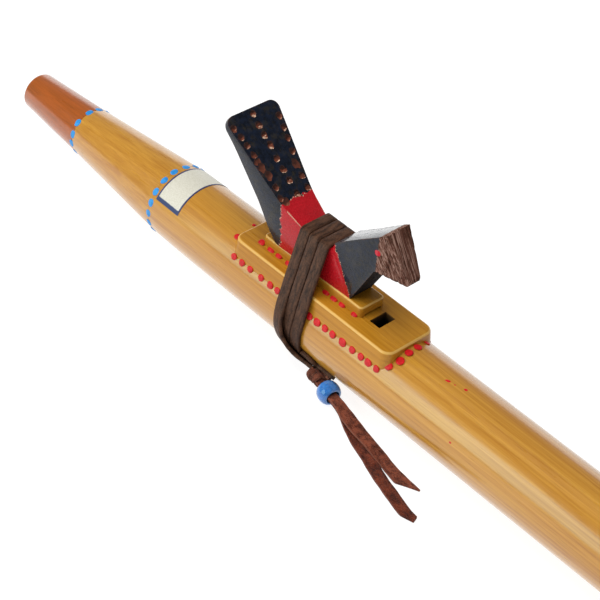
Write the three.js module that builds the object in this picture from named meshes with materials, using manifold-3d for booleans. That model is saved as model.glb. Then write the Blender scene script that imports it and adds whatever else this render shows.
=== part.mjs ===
// Native American style flute: a bored wooden body with two air chambers, a raised nest
// with a flue plate, and a carved bird tied down by three turns of leather lace.
// Millimetres. +X runs from the blowing end to the foot, +Z up through the bird.

import * as THREE from 'three';
import { mergeVertices } from 'three/addons/utils/BufferGeometryUtils.js';
import Module from 'manifold-3d';

const wasm = await Module();
wasm.setup();

// Body, measured along the axis from the blowing end
const fluteLength = 600;
const tubeRadius = 16;
const boreRadius = 11;
const edgeChamfer = 0.8;

// Mouthpiece
const mouthpieceLength = 37.7;
const lipRadius = 8.2;
const lipRounding = 0.7;
const mouthpieceRadius = 10.7;
const blowHoleRadius = 3;
const blowHoleFlare = 0.7;
const mouthpieceTenonRadius = 7;
const mouthpieceTenonLength = 10;

// Head cone between the mouthpiece and the tube
const headConeLength = 57.5;
const shoulderRadius = 15.55;
const coneThroatRadius = 5.6;
const coneTenonRadius = 13.2;
const coneTenonLength = 12;
const shoulderFairing = 40;

// Nest, the raised bed glued on the tube; it starts at a setback from the shoulder
const nestSetback = 46.5;
const nestLength = 86;
const nestHalfWidth = 12.8;
const nestRise = 1.95;
const nestDraft = 0.75;
const nestSkirt = 9;
const nestCornerRadius = 4;
const nestEdgeBevel = 0.6;

// Sound hole, set back from the front end of the nest
const soundHoleSetback = 18.5;
const soundHoleLength = 5.1;
const soundHoleHalfWidth = 4.1;

// Exit slot of the slow air chamber, and the plug that parts it from the sound chamber
const exitSlotSetback = 24.3;
const exitSlotLength = 7;
const plugAfterExit = 3;
const plugBeforeSoundHole = 4.2;
const plugRampLength = 6;

// Finger holes along the sound chamber, as shares of its length from the sound hole
const fingerHoleShares = [0.39, 0.465, 0.535, 0.625, 0.7, 0.78];
const fingerHoleRadius = 4;
const fingerHoleFlare = 0.7;
const fingerHoleFlareDepth = 1.25;

// Flue plate, the roof of the air channel, from near the nest's rear end to the sound hole
const plateSetback = 10.8;
const plateBeforeSoundHole = 2.8;
const plateHalfWidth = 6.2;
const plateThickness = 4.55;
const plateCornerRadius = 1.6;
const plateEdgeBevel = 0.5;
const channelHeight = 0.9;

// Bird on the plate, set back from the plate's front edge
const birdSetback = 5.6;
const birdBaseLength = 41.6;
const birdWaistHalfWidth = 6.2;
const birdBackHalfWidth = 5.7;
const birdFrontHalfWidth = 5.4;
const carvedRounding = 0.5;

// Saddle of the bird, where the lace lies
const saddleHeight = 15.8;
const saddleRise = 4.1;
const saddleRounding = 1.2;

// Tail of the bird: a wedge that rises backwards and fans out from the saddle to its thin tip
const tailReach = 27;
const tailHeight = 43.2;
const tailTipHalfWidth = 13.2;
const tailTipThickness = 1.9;
const tailTipEase = 0.5;
const tailTipRounding = 3.2;
const tailBendReach = 2.8;
const tailBendHeight = 20.5;
const tailBendRounding = 3.2;

// Back of the tail from its tip down, each place a share of the tail's reach and height
const tailBackShares = [[0.193, 0.794], [0.667, 0.359], [0.863, 0.123]];

// Head of the bird
const throatReach = 9.1;
const throatHeight = 20.1;
const cheekReach = 9.35;
const headReach = 12.1;
const headHeight = 37.8;
const headHalfWidth = 5.9;
const beakReach = 23.6;
const beakHeight = 20.7;
const beakTipHalfWidth = 2.5;
const beakTipDepth = 2.2;

// Leather lace
const laceWidth = 4.8;
const laceThickness = 1.9;
const laceGap = 0.53;
const laceTurns = 3;
const laceEdgeEase = 0.57;
const laceBendRounding = 1.02;
const laceBendInset = 0.84;
const footFlat = 0.5;

// First end of the lace, at the foot of the knot: how far it lies from the middle of the
// winding, its angle round the tube, and the part of the way below in which it closes up
const firstEndReach = 15.2;
const firstEndAngle = THREE.MathUtils.degToRad(233);
const firstEndStraight = 3.2;
const firstEndClosingShare = 0.8;

// Knot, bead and the two tails of the lace
const knotReach = 15.9;
const knotSideways = -15.3;
const knotDrop = -12;
const knotHalfLength = 3.2;
const knotHalfDepth = 2.9;
const knotHalfHeight = 4.2;
const beadReach = 25.6;
const beadSideways = -17.3;
const beadDrop = -13.15;
const beadTurn = THREE.MathUtils.degToRad(-11);
const beadRadius = 4.5;
const beadHalfLength = 3.1;
const beadHoleRadius = 2.6;
const beadBulge = 0.7;
const tailWidth = 4;
const tailThickness = 1.3;
const tailFlatShare = 0.8;
const tailEdgeShare = 0.1;

// Paper label round the top of the tube
const labelSetback = 2.4;
const labelWidth = 13.2;
const labelThickness = 0.15;
const labelHalfAngle = THREE.MathUtils.degToRad(59);

// Fits
const glueGap = 0.3;
const socketGap = 0.15;
const seamGap = 0.1;
const looseGap = 0.3;
const cutOverrun = 3;

// Facets and steps of round and swept work
const turnedFacets = 60;
const beadFacets = 32;
const holeFacets = 24;
const knotFacets = 20;
const lipSteps = 3;
const beadSteps = 8;
const tubeArcSteps = 14;
const saddleArcSteps = 4;
const lastEndSteps = 18;
const tailSteps = 28;

// Places that follow from the sizes above
const coneStart = mouthpieceLength;
const tubeStart = coneStart + headConeLength;
const labelStart = tubeStart + labelSetback;
const nestStart = tubeStart + nestSetback;
const nestEnd = nestStart + nestLength;
const nestTop = tubeRadius + nestRise;
const soundHoleStart = nestEnd - soundHoleSetback;
const soundHoleEnd = soundHoleStart + soundHoleLength;
const exitSlotStart = nestStart + exitSlotSetback;
const exitSlotEnd = exitSlotStart + exitSlotLength;
const plugStart = exitSlotEnd + plugAfterExit;
const plugEnd = soundHoleStart - plugBeforeSoundHole;
const plateStart = nestStart + plateSetback;
const plateEnd = soundHoleStart - plateBeforeSoundHole;
const plateTop = nestTop + plateThickness;
const birdEnd = plateEnd - birdSetback;
const birdStart = birdEnd - birdBaseLength;
const windingCentre = (birdStart + birdEnd) / 2;
const laceInset = looseGap + laceThickness / 2;
const lacePitch = laceWidth + laceGap;
const restHeight = tubeRadius + looseGap + laceThickness - footFlat;

// Booleans
function solidOf(geometry) {
  const bare = geometry.clone();
  bare.deleteAttribute('normal');
  bare.deleteAttribute('uv');
  const merged = mergeVertices(bare);
  return new wasm.Manifold(new wasm.Mesh({
    numProp: 3,
    vertProperties: new Float32Array(merged.attributes.position.array),
    triVerts: new Uint32Array(merged.index.array),
  }));
}

function geometryOf(solid) {
  const mesh = solid.getMesh();
  const geometry = new THREE.BufferGeometry();
  geometry.setAttribute('position', new THREE.BufferAttribute(mesh.vertProperties, 3));
  geometry.setIndex(new THREE.BufferAttribute(mesh.triVerts, 1));
  geometry.computeVertexNormals();
  return geometry;
}

function cutFrom(geometry, ...tools) {
  let solid = solidOf(geometry);
  for (const tool of tools) solid = solid.subtract(solidOf(tool));
  return geometryOf(solid);
}

// Round work turned about the flute's axis; a profile is a list of [x, radius]
function turned(profile, facets = turnedFacets) {
  const points = profile.map(([x, radius]) => new THREE.Vector2(radius, x));
  points.push(points[0].clone());
  const geometry = new THREE.LatheGeometry(points, facets);
  geometry.rotateZ(-Math.PI / 2);
  return geometry;
}

function rod(radius, start, end, facets = turnedFacets) {
  const geometry = new THREE.CylinderGeometry(radius, radius, end - start, facets);
  geometry.rotateZ(-Math.PI / 2);
  geometry.translate((start + end) / 2, 0, 0);
  return geometry;
}

function block(xRange, yRange, zRange) {
  const size = [xRange, yRange, zRange].map(([low, high]) => high - low);
  const middle = [xRange, yRange, zRange].map(([low, high]) => (low + high) / 2);
  const geometry = new THREE.BoxGeometry(...size);
  geometry.translate(...middle);
  return geometry;
}

// An outline whose corners [x, y, rounding] are eased by short curves
function easedOutline(corners) {
  const shape = new THREE.Shape();
  const count = corners.length;
  corners.forEach(([x, y, rounding], index) => {
    const corner = new THREE.Vector2(x, y);
    const before = new THREE.Vector2(...corners[(index + count - 1) % count]);
    const after = new THREE.Vector2(...corners[(index + 1) % count]);
    const entry = corner.clone().add(before.sub(corner).setLength(rounding));
    const exit = corner.clone().add(after.sub(corner).setLength(rounding));
    if (index === 0) shape.moveTo(entry.x, entry.y);
    else shape.lineTo(entry.x, entry.y);
    if (rounding > 0) shape.quadraticCurveTo(corner.x, corner.y, exit.x, exit.y);
  });
  shape.closePath();
  return shape;
}

// A plate with rounded corners in plan and an eased top edge, its underside left for a cut
function roundedPlate([start, end], halfWidth, [bottom, top], cornerRadius, bevel) {
  const inset = halfWidth - bevel;
  const corners = [
    [start + bevel, -inset, cornerRadius],
    [end - bevel, -inset, cornerRadius],
    [end - bevel, inset, cornerRadius],
    [start + bevel, inset, cornerRadius],
  ];
  const geometry = new THREE.ExtrudeGeometry(easedOutline(corners), {
    depth: top - bottom - 2 * bevel,
    bevelThickness: bevel,
    bevelSize: bevel,
    bevelSegments: 2,
    curveSegments: 5,
  });
  geometry.translate(0, 0, bottom + bevel);
  return geometry;
}

// Body radius along the axis: the shoulder swells to the full tube over the fairing
function bodyRadius(x) {
  const share = THREE.MathUtils.clamp((x - tubeStart) / shoulderFairing, 0, 1);
  return tubeRadius - (tubeRadius - shoulderRadius) * (1 - share) ** 2;
}

// The lip is rounded by a quarter turn from the end face to the outside
function mouthpieceGeometry() {
  const tenonEnd = mouthpieceLength + mouthpieceTenonLength;
  const lip = [];
  for (let step = 0; step <= lipSteps; step += 1) {
    const angle = (Math.PI / 2) * (step / lipSteps);
    const x = lipRounding * (1 - Math.cos(angle));
    lip.push([x, lipRadius - lipRounding * (1 - Math.sin(angle))]);
  }
  return turned([
    [blowHoleFlare, blowHoleRadius],
    [0, blowHoleRadius + blowHoleFlare],
    ...lip,
    [mouthpieceLength, mouthpieceRadius],
    [mouthpieceLength, mouthpieceTenonRadius],
    [tenonEnd, mouthpieceTenonRadius],
    [tenonEnd, blowHoleRadius],
  ]);
}

function headConeGeometry() {
  const start = coneStart + seamGap;
  const socketEnd = coneStart + mouthpieceTenonLength + looseGap;
  const tenonEnd = tubeStart + coneTenonLength;
  const socketRadius = mouthpieceTenonRadius + socketGap;
  return turned([
    [start, socketRadius],
    [start, mouthpieceRadius],
    [tubeStart, shoulderRadius],
    [tubeStart, coneTenonRadius],
    [tenonEnd, coneTenonRadius],
    [tenonEnd, boreRadius],
    [tubeStart, boreRadius],
    [socketEnd, coneThroatRadius],
    [socketEnd, socketRadius],
  ]);
}

const soundChamberLength = fluteLength - soundHoleEnd;
const fingerHolePlaces = fingerHoleShares.map((share) => soundHoleEnd + share * soundChamberLength);

// A finger hole burnt through the wall, flared where the finger seals it
function fingerHoleTool(x) {
  const wall = tubeRadius - boreRadius;
  const bottom = boreRadius - wall;
  const outline = [
    new THREE.Vector2(0, bottom),
    new THREE.Vector2(fingerHoleRadius, bottom),
    new THREE.Vector2(fingerHoleRadius, tubeRadius - fingerHoleFlareDepth),
    new THREE.Vector2(fingerHoleRadius + fingerHoleFlare, tubeRadius),
    new THREE.Vector2(fingerHoleRadius + fingerHoleFlare, tubeRadius + cutOverrun),
    new THREE.Vector2(0, tubeRadius + cutOverrun),
  ];
  const geometry = new THREE.LatheGeometry(outline, holeFacets);
  geometry.rotateX(Math.PI / 2);
  geometry.translate(x, 0, 0);
  return geometry;
}

const halfWidthRange = (halfWidth) => [-halfWidth, halfWidth];
const soundHoleRange = [soundHoleStart, soundHoleEnd];
const exitSlotRange = [exitSlotStart, exitSlotEnd];

// Both air passages from the bore up through the wall and the nest
function airPassages(top) {
  const depth = [boreRadius / 2, top];
  return [
    block(soundHoleRange, halfWidthRange(soundHoleHalfWidth), depth),
    block(exitSlotRange, halfWidthRange(soundHoleHalfWidth), depth),
  ];
}

function bodyTubeGeometry() {
  const start = tubeStart + seamGap;
  const socketRadius = coneTenonRadius + socketGap;
  const socketEnd = tubeStart + coneTenonLength + looseGap;
  const fairingShares = [0, 0.15, 0.35, 0.6, 1];
  const fairing = fairingShares.map((share) => start + share * shoulderFairing);
  const shell = turned([
    [start, socketRadius],
    ...fairing.map((x) => [x, bodyRadius(x)]),
    [fluteLength - edgeChamfer, tubeRadius],
    [fluteLength, tubeRadius - edgeChamfer],
    [fluteLength, boreRadius + edgeChamfer],
    [fluteLength - edgeChamfer, boreRadius],
    [socketEnd, boreRadius],
    [socketEnd, socketRadius],
  ]);
  return cutFrom(shell, ...airPassages(nestTop), ...fingerHolePlaces.map(fingerHoleTool));
}

// Plug between the chambers, sloped at the top of both ends to turn the air
function borePlugGeometry() {
  const radius = boreRadius - socketGap;
  const core = rod(radius, plugStart, plugEnd);
  const ramp = block([-plugRampLength, plugRampLength], halfWidthRange(tubeRadius), [0, tubeRadius]);
  const slope = Math.PI / 4;
  const rear = ramp.clone().rotateY(-slope).translate(plugStart, 0, radius - plugRampLength);
  const front = ramp.clone().rotateY(slope).translate(plugEnd, 0, radius - plugRampLength);
  return cutFrom(core, rear, front);
}

function nestGeometry() {
  const range = [nestStart, nestEnd];
  const raised = roundedPlate(range, nestHalfWidth, [nestSkirt, nestTop], nestCornerRadius, nestEdgeBevel);
  const middle = (nestStart + nestEnd) / 2;
  const place = raised.attributes.position;
  for (let index = 0; index < place.count; index += 1) {
    const lean = nestDraft * (place.getZ(index) - nestSkirt) / (nestTop - nestSkirt);
    const x = place.getX(index) - middle;
    place.setX(index, middle + x * (1 - lean / (nestLength / 2)));
    place.setY(index, place.getY(index) * (1 - lean / nestHalfWidth));
  }
  const bed = rod(tubeRadius + glueGap, nestStart - cutOverrun, nestEnd + cutOverrun);
  return cutFrom(raised, bed, ...airPassages(nestTop + cutOverrun));
}

// The channel runs under the plate from the exit slot to its front edge
function fluePlateGeometry() {
  const range = [plateStart, plateEnd];
  const below = nestTop - plateThickness;
  const raised = roundedPlate(range, plateHalfWidth, [below, plateTop], plateCornerRadius, plateEdgeBevel);
  const underside = block(
    [plateStart - cutOverrun, plateEnd + cutOverrun],
    halfWidthRange(plateHalfWidth + cutOverrun),
    [below - cutOverrun, nestTop],
  );
  const channel = block(
    [exitSlotStart, plateEnd + cutOverrun],
    halfWidthRange(soundHoleHalfWidth),
    [nestTop - channelHeight, nestTop + channelHeight],
  );
  return cutFrom(raised, underside, channel);
}

// The tail's front face in the side view, up from its bend above the saddle to the tip
const tailBend = new THREE.Vector2(birdStart + tailBendReach, tailBendHeight);
const tailTip = new THREE.Vector2(birdStart - tailReach, tailHeight);
const tailSlope = tailTip.clone().sub(tailBend).normalize();

// The bird as it is sawn: its side outline, crossed with its plan and the fan of its tail
function birdSideGeometry() {
  const saddleStart = windingCentre - (laceTurns * lacePitch) / 2;
  const saddleEnd = windingCentre + (laceTurns * lacePitch) / 2 + looseGap;
  const tipBackX = tailTip.x - tailSlope.y * tailTipThickness;
  const tipBackHeight = tailTip.y + tailSlope.x * tailTipThickness;
  const tailBack = tailBackShares.map(([along, up]) => [tailTip.x + tailReach * along, tailHeight * up, 0]);
  const outline = easedOutline([
    [birdStart, 0, carvedRounding],
    [birdEnd, 0, 0],
    [birdEnd + throatReach, throatHeight, carvedRounding],
    [birdEnd + beakReach, beakHeight, carvedRounding],
    [birdEnd + beakReach, beakHeight + beakTipDepth, carvedRounding],
    [birdEnd + headReach, headHeight, carvedRounding],
    [saddleEnd + saddleRounding, saddleHeight + saddleRise, saddleRounding],
    [saddleEnd, saddleHeight, carvedRounding],
    [saddleStart, saddleHeight, carvedRounding],
    [tailBend.x, tailBend.y, tailBendRounding],
    [tailTip.x, tailTip.y, tailTipEase],
    [tipBackX, tipBackHeight, tailTipEase],
    ...tailBack,
  ]);
  const width = 2 * (tailTipHalfWidth + cutOverrun);
  const settings = { depth: width, bevelEnabled: false, curveSegments: 3 };
  const geometry = new THREE.ExtrudeGeometry(outline, settings);
  geometry.rotateX(Math.PI / 2);
  geometry.translate(0, width / 2, plateTop);
  return geometry;
}

function mirroredOutline(halfOutline) {
  const far = halfOutline.map(([x, y, rounding]) => [x, y, rounding]);
  const near = halfOutline.map(([x, y, rounding]) => [x, -y, rounding]).reverse();
  return easedOutline([...near, ...far]);
}

function birdPlanGeometry() {
  const height = tailHeight + cutOverrun;
  const outline = mirroredOutline([
    [birdStart - tailReach - cutOverrun, birdBackHalfWidth, 0],
    [birdStart, birdBackHalfWidth, 0],
    [windingCentre, birdWaistHalfWidth, 0],
    [birdEnd, birdFrontHalfWidth, 0],
    [birdEnd + cheekReach, headHalfWidth, carvedRounding],
    [birdEnd + beakReach, beakTipHalfWidth, carvedRounding],
  ].reverse());
  const settings = { depth: height, bevelEnabled: false, curveSegments: 3 };
  const geometry = new THREE.ExtrudeGeometry(outline, settings);
  geometry.translate(0, 0, plateTop);
  return geometry;
}

// The tail fans out along the slope of its front face, square to it, from the saddle's edge
function birdTailGeometry() {
  const root = new THREE.Vector2(windingCentre - (laceTurns * lacePitch) / 2, saddleHeight);
  const length = tailTip.clone().sub(root).dot(tailSlope);
  const depth = birdBaseLength;
  const outline = mirroredOutline([
    [length, tailTipHalfWidth, tailTipRounding],
    [0, birdWaistHalfWidth, 0],
  ]);
  const geometry = new THREE.ExtrudeGeometry(outline, { depth, bevelEnabled: false, curveSegments: 4 });
  geometry.translate(0, 0, -depth / 2);
  geometry.rotateY(-tailSlope.angle());
  geometry.translate(root.x, 0, plateTop + root.y);
  return geometry;
}

function birdGeometry() {
  const sawn = solidOf(birdPlanGeometry()).add(solidOf(birdTailGeometry()));
  return geometryOf(solidOf(birdSideGeometry()).intersect(sawn));
}

// Lace winding: the loop round tube, nest and saddle is a belt over five rounded bars,
// each [y, z, radius of the lace's middle line], met in turn from the tube's far side
const nestTopHalfWidth = nestHalfWidth - nestDraft;
const saddleTop = plateTop + saddleHeight;
const nestEdgeRounding = laceInset + laceBendRounding;
const beltBars = [
  [0, 0, tubeRadius + laceInset],
  [nestTopHalfWidth - laceBendInset, nestTop - laceBendInset, nestEdgeRounding],
  [birdWaistHalfWidth, saddleTop, laceInset],
  [-birdWaistHalfWidth, saddleTop, laceInset],
  [laceBendInset - nestTopHalfWidth, nestTop - laceBendInset, nestEdgeRounding],
];

// Direction in which the belt leaves one bar for the next
function leavingAngle([y0, z0, radius0], [y1, z1, radius1]) {
  const distance = Math.hypot(y1 - y0, z1 - z0);
  return Math.atan2(z1 - z0, y1 - y0) - Math.acos((radius0 - radius1) / distance);
}

const fullTurn = 2 * Math.PI;
const tubeLeaving = leavingAngle(beltBars[0], beltBars[1]) + fullTurn;
const tubeArrival = leavingAngle(beltBars[4], beltBars[0]) + fullTurn;
const tubeArc = tubeLeaving - tubeArrival;
const easeInOut = (share) => THREE.MathUtils.smoothstep(share, 0, 1);
const onTube = (x, radius, angle) => new THREE.Vector3(x, radius * Math.cos(angle), radius * Math.sin(angle));

// One pass over the nest and the saddle at a fixed x, from the far side to the near side
function overPass(x) {
  const rings = [];
  let arriving = leavingAngle(beltBars[0], beltBars[1]);
  for (let index = 1; index < beltBars.length; index += 1) {
    const [y, z, radius] = beltBars[index];
    let leaving = leavingAngle(beltBars[index], beltBars[(index + 1) % beltBars.length]);
    while (leaving < arriving) leaving += fullTurn;
    const steps = leaving - arriving > fullTurn / 12 ? saddleArcSteps : 1;
    for (let step = 0; step <= steps; step += 1) {
      const angle = arriving + (leaving - arriving) * (step / steps);
      const out = new THREE.Vector3(0, Math.cos(angle), Math.sin(angle));
      const place = new THREE.Vector3(x, y, z).addScaledVector(out, radius);
      rings.push({ place, out });
    }
    arriving = leaving;
  }
  return rings;
}

// Radial rings for a list of [x, radius, angle] places on or over the tube
function ringsOverTube(places) {
  return places.map(([x, radius, angle]) => ({ place: onTube(x, radius, angle), out: onTube(0, 1, angle) }));
}

// The pass below the tube moves the lace back by one pitch
const passX = (turn) => windingCentre + lacePitch * ((laceTurns - 1) / 2 - turn);
const underX = (turn, share) => passX(turn) - lacePitch * easeInOut(share);

function underPass(turn) {
  const places = [];
  for (let step = 0; step <= tubeArcSteps; step += 1) {
    const share = step / tubeArcSteps;
    places.push([underX(turn, share), tubeRadius + laceInset, tubeArrival + tubeArc * share]);
  }
  return ringsOverTube(places);
}

// The first end leaves the foot of the knot and closes up to the winding below the tube
const firstEndX = windingCentre + firstEndReach;

function firstEnd() {
  const radius = tubeRadius + laceInset;
  const straightAngle = firstEndAngle + firstEndStraight / radius;
  const besideNext = (angle) => underX(0, (angle - tubeArrival) / tubeArc) + lacePitch;
  const extra = firstEndX - besideNext(straightAngle);
  const places = [[firstEndX, radius, firstEndAngle]];
  for (let step = 0; step <= tubeArcSteps; step += 1) {
    const angle = straightAngle + (tubeLeaving - straightAngle) * (step / tubeArcSteps);
    const closing = easeInOut(step / (tubeArcSteps * firstEndClosingShare));
    places.push([besideNext(angle) + extra * (1 - closing), radius, angle]);
  }
  return ringsOverTube(places);
}

// The last end rides up on the other turns and crosses outside them to the knot; each place
// is [x from the middle of the winding, height over the tube, angle, lean], both in degrees
const lastEndRoute = [
  [-5.25, 3.2, 140, 4], [-5, 2.2, 153, 16], [-4.3, 2.9, 166, 28], [-3.6, 3.3, 177, 26],
  [-2.5, 3.75, 187, 18], [-0.8, 3.85, 196, 8], [1.7, 3.8, 205, 3], [5, 3.75, 212, 0],
  [8.6, 3.7, 216, 0], [12.2, 3.6, 218, 0],
];

function lastEnd() {
  const places = lastEndRoute.map(([x, lift, angle]) => (
    onTube(windingCentre + x, tubeRadius + lift, THREE.MathUtils.degToRad(angle))
  ));
  const leans = lastEndRoute.map(([x, , , lean]) => new THREE.Vector3(x, lean, 0));
  const route = new THREE.CatmullRomCurve3(places);
  const leanRoute = new THREE.CatmullRomCurve3(leans);
  const rings = [];
  for (let step = 0; step <= lastEndSteps; step += 1) {
    const place = route.getPoint(step / lastEndSteps);
    const lean = THREE.MathUtils.degToRad(leanRoute.getPoint(step / lastEndSteps).y);
    const radial = new THREE.Vector3(0, place.y, place.z).normalize();
    const out = radial.multiplyScalar(Math.cos(lean)).add(new THREE.Vector3(-Math.sin(lean), 0, 0));
    rings.push({ place, out });
  }
  return rings;
}

// Lace section as [across, outward] places, its edges eased
const laceSection = [
  [-laceWidth / 2, 0],
  [laceEdgeEase - laceWidth / 2, laceThickness / 2],
  [laceWidth / 2 - laceEdgeEase, laceThickness / 2],
  [laceWidth / 2, 0],
  [laceWidth / 2 - laceEdgeEase, -laceThickness / 2],
  [laceEdgeEase - laceWidth / 2, -laceThickness / 2],
];

// Squares each ring to the route through its neighbours
function squaredRings(rings) {
  return rings.map(({ place, out }, index) => {
    const before = rings[Math.max(index - 1, 0)].place;
    const after = rings[Math.min(index + 1, rings.length - 1)].place;
    const along = after.clone().sub(before).normalize();
    const squareOut = out.clone().addScaledVector(along, -out.dot(along)).normalize();
    const across = new THREE.Vector3().crossVectors(squareOut, along);
    return { place, along, out: squareOut, across };
  });
}

// One closed skin through all the rings, with a flat cap on both ends
function sweptLace(rings) {
  const sides = laceSection.length;
  const positions = [];
  const indices = [];
  for (const { place, out, across } of rings) {
    for (const [acrossBy, outBy] of laceSection) {
      const corner = place.clone().addScaledVector(across, acrossBy).addScaledVector(out, outBy);
      positions.push(corner.x, corner.y, corner.z);
    }
  }
  for (let ring = 1; ring < rings.length; ring += 1) {
    for (let side = 0; side < sides; side += 1) {
      const next = (side + 1) % sides;
      const a = (ring - 1) * sides + side;
      const b = (ring - 1) * sides + next;
      const c = ring * sides + next;
      const d = ring * sides + side;
      indices.push(a, c, b, a, d, c);
    }
  }
  const lastRing = (rings.length - 1) * sides;
  for (let side = 1; side < sides - 1; side += 1) {
    indices.push(0, side, side + 1);
    indices.push(lastRing, lastRing + side + 1, lastRing + side);
  }
  const geometry = new THREE.BufferGeometry();
  geometry.setAttribute('position', new THREE.Float32BufferAttribute(positions, 3));
  geometry.setIndex(indices);
  return geometry;
}

// Least gap between rings more than half a turn apart along the lace
function leastSelfGap(rings) {
  const reach = tubeArcSteps;
  let least = Infinity;
  rings.forEach((ring, index) => {
    rings.forEach((other, otherIndex) => {
      if (Math.abs(index - otherIndex) < reach) return;
      for (const [acrossBy, outBy] of laceSection) {
        const offset = other.place.clone().addScaledVector(other.across, acrossBy);
        offset.addScaledVector(other.out, outBy).sub(ring.place);
        if (Math.abs(offset.dot(ring.along)) > laceThickness) continue;
        const beside = Math.max(0, Math.abs(offset.dot(ring.across)) - laceWidth / 2);
        const above = Math.max(0, Math.abs(offset.dot(ring.out)) - laceThickness / 2);
        least = Math.min(least, Math.hypot(beside, above));
      }
    });
  });
  return least;
}

const windingRings = squaredRings([
  ...firstEnd(), ...overPass(passX(0)),
  ...underPass(0), ...overPass(passX(1)),
  ...underPass(1), ...overPass(passX(2)),
  ...lastEnd(),
]);
console.log(`lace winding: least gap to itself ${leastSelfGap(windingRings).toFixed(2)} mm`);

// The foot of the winding is worn flat where the flute lies on it
function laceWindingGeometry() {
  const below = block([passX(laceTurns), firstEndX + laceWidth], halfWidthRange(tubeRadius), [
    -restHeight - cutOverrun,
    -restHeight,
  ]);
  return cutFrom(sweptLace(windingRings), below);
}

// Knot: a squeezed barrel in which both ends of the winding run on
const knotPlace = new THREE.Vector3(windingCentre + knotReach, knotSideways, knotDrop);
const knotBarrelShares = [[-1, 0.5], [-0.8, 0.78], [-0.3, 1], [0.3, 1], [0.8, 0.82], [1, 0.66]];

function laceRunOn(ring, direction, length) {
  const step = ring.along.clone().multiplyScalar(direction);
  const start = ring.place.clone().addScaledVector(step, looseGap);
  const end = start.clone().addScaledVector(step, length);
  const places = direction > 0 ? [start, end] : [end, start];
  return sweptLace(places.map((place) => ({ place, out: ring.out, across: ring.across })));
}

function laceKnotGeometry() {
  const profile = knotBarrelShares.map(([along, share]) => (
    [along * knotHalfLength, share * knotHalfHeight]
  ));
  const ends = [[-knotHalfLength, 0], ...profile, [knotHalfLength, 0]];
  const points = ends.map(([x, radius]) => new THREE.Vector2(radius, x));
  const barrel = new THREE.LatheGeometry(points, knotFacets);
  barrel.rotateZ(-Math.PI / 2);
  barrel.scale(1, knotHalfDepth / knotHalfHeight, 1);
  barrel.rotateX(Math.atan2(knotPlace.z, knotPlace.y) + Math.PI);
  barrel.translate(knotPlace.x, knotPlace.y, knotPlace.z);
  const first = laceRunOn(windingRings[0], -1, knotHalfLength);
  const last = laceRunOn(windingRings[windingRings.length - 1], 1, knotHalfLength);
  return geometryOf(solidOf(barrel).add(solidOf(first)).add(solidOf(last)));
}

// Bead on the two tails, which leave the knot one above the other
function beadGeometry() {
  const profile = [];
  const crown = beadRadius - beadHoleRadius;
  for (let step = 0; step <= beadSteps; step += 1) {
    const angle = Math.PI * (step / beadSteps);
    const bulge = Math.sin(angle) ** beadBulge;
    profile.push([-beadHalfLength * Math.cos(angle), beadHoleRadius + crown * bulge]);
  }
  const geometry = turned(profile, beadFacets);
  geometry.rotateZ(beadTurn);
  geometry.translate(windingCentre + beadReach, beadSideways, beadDrop);
  return geometry;
}

// Routes of the tails, x from the middle of the winding: straight through the bead, then
// down to the surface and along it
const shortTailRoute = [
  [19.3, -16.07, -12.3], [24, -16.99, -12.3], [29, -17.96, -12.3], [33.5, -18.83, -12.4],
  [39, -19.6, -13.5], [46, -20.4, -14.8], [52, -21.3, -15.3], [60, -22.7, -16.4],
  [66, -23.6, -16.95], [72, -24.4, -17], [79.6, -24.7, -17],
];
const longTailRoute = [
  [19.3, -16.07, -14], [24, -16.99, -14], [29, -17.96, -14], [33.5, -18.95, -14.2],
  [39, -21.1, -15.6], [44, -22.9, -16.6], [49, -24.5, -17], [58, -27.2, -17],
  [66, -29.4, -17], [76, -32.1, -17], [83, -33.9, -17], [89, -34.9, -17],
];

// Flat eight-sided section; its first axis stands upright on a level route
function laceTailGeometry(route) {
  const thin = tailThickness / 2;
  const wide = tailWidth / 2;
  const flat = wide * tailFlatShare;
  const edge = thin * tailEdgeShare;
  const section = easedOutline([
    [thin, flat, 0], [edge, wide, 0], [-edge, wide, 0], [-thin, flat, 0],
    [-thin, -flat, 0], [-edge, -wide, 0], [edge, -wide, 0], [thin, -flat, 0],
  ]);
  const places = route.map(([x, y, z]) => new THREE.Vector3(windingCentre + x, y, z));
  const extrudePath = new THREE.CatmullRomCurve3(places);
  return new THREE.ExtrudeGeometry(section, { steps: tailSteps, extrudePath });
}

// Label: a strip of paper wrapped over the top of the tube, open below
function paperLabelGeometry() {
  const lift = seamGap;
  const end = labelStart + labelWidth;
  const ring = turned([
    [labelStart, bodyRadius(labelStart) + lift],
    [labelStart, bodyRadius(labelStart) + lift + labelThickness],
    [end, bodyRadius(end) + lift + labelThickness],
    [end, bodyRadius(end) + lift],
  ], turnedFacets * 2);
  const reach = tubeRadius * 2;
  const side = reach * Math.tan(labelHalfAngle);
  const wedge = new THREE.Shape();
  wedge.moveTo(0, 0);
  wedge.lineTo(side, reach);
  wedge.lineTo(-side, reach);
  wedge.closePath();
  const cutter = new THREE.ExtrudeGeometry(wedge, { depth: labelWidth * 2, bevelEnabled: false });
  cutter.rotateX(Math.PI / 2);
  cutter.rotateZ(Math.PI / 2);
  cutter.translate(labelStart - labelWidth / 2, 0, 0);
  return geometryOf(solidOf(ring).intersect(solidOf(cutter)));
}

const flute = new THREE.Group();
flute.position.set(-fluteLength / 2, 0, restHeight);

function addPiece(name, geometry, color, roughness, metalness = 0) {
  const material = new THREE.MeshStandardMaterial({ color, roughness, metalness });
  const mesh = new THREE.Mesh(geometry, material);
  mesh.name = name;
  flute.add(mesh);
  return mesh;
}

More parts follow.
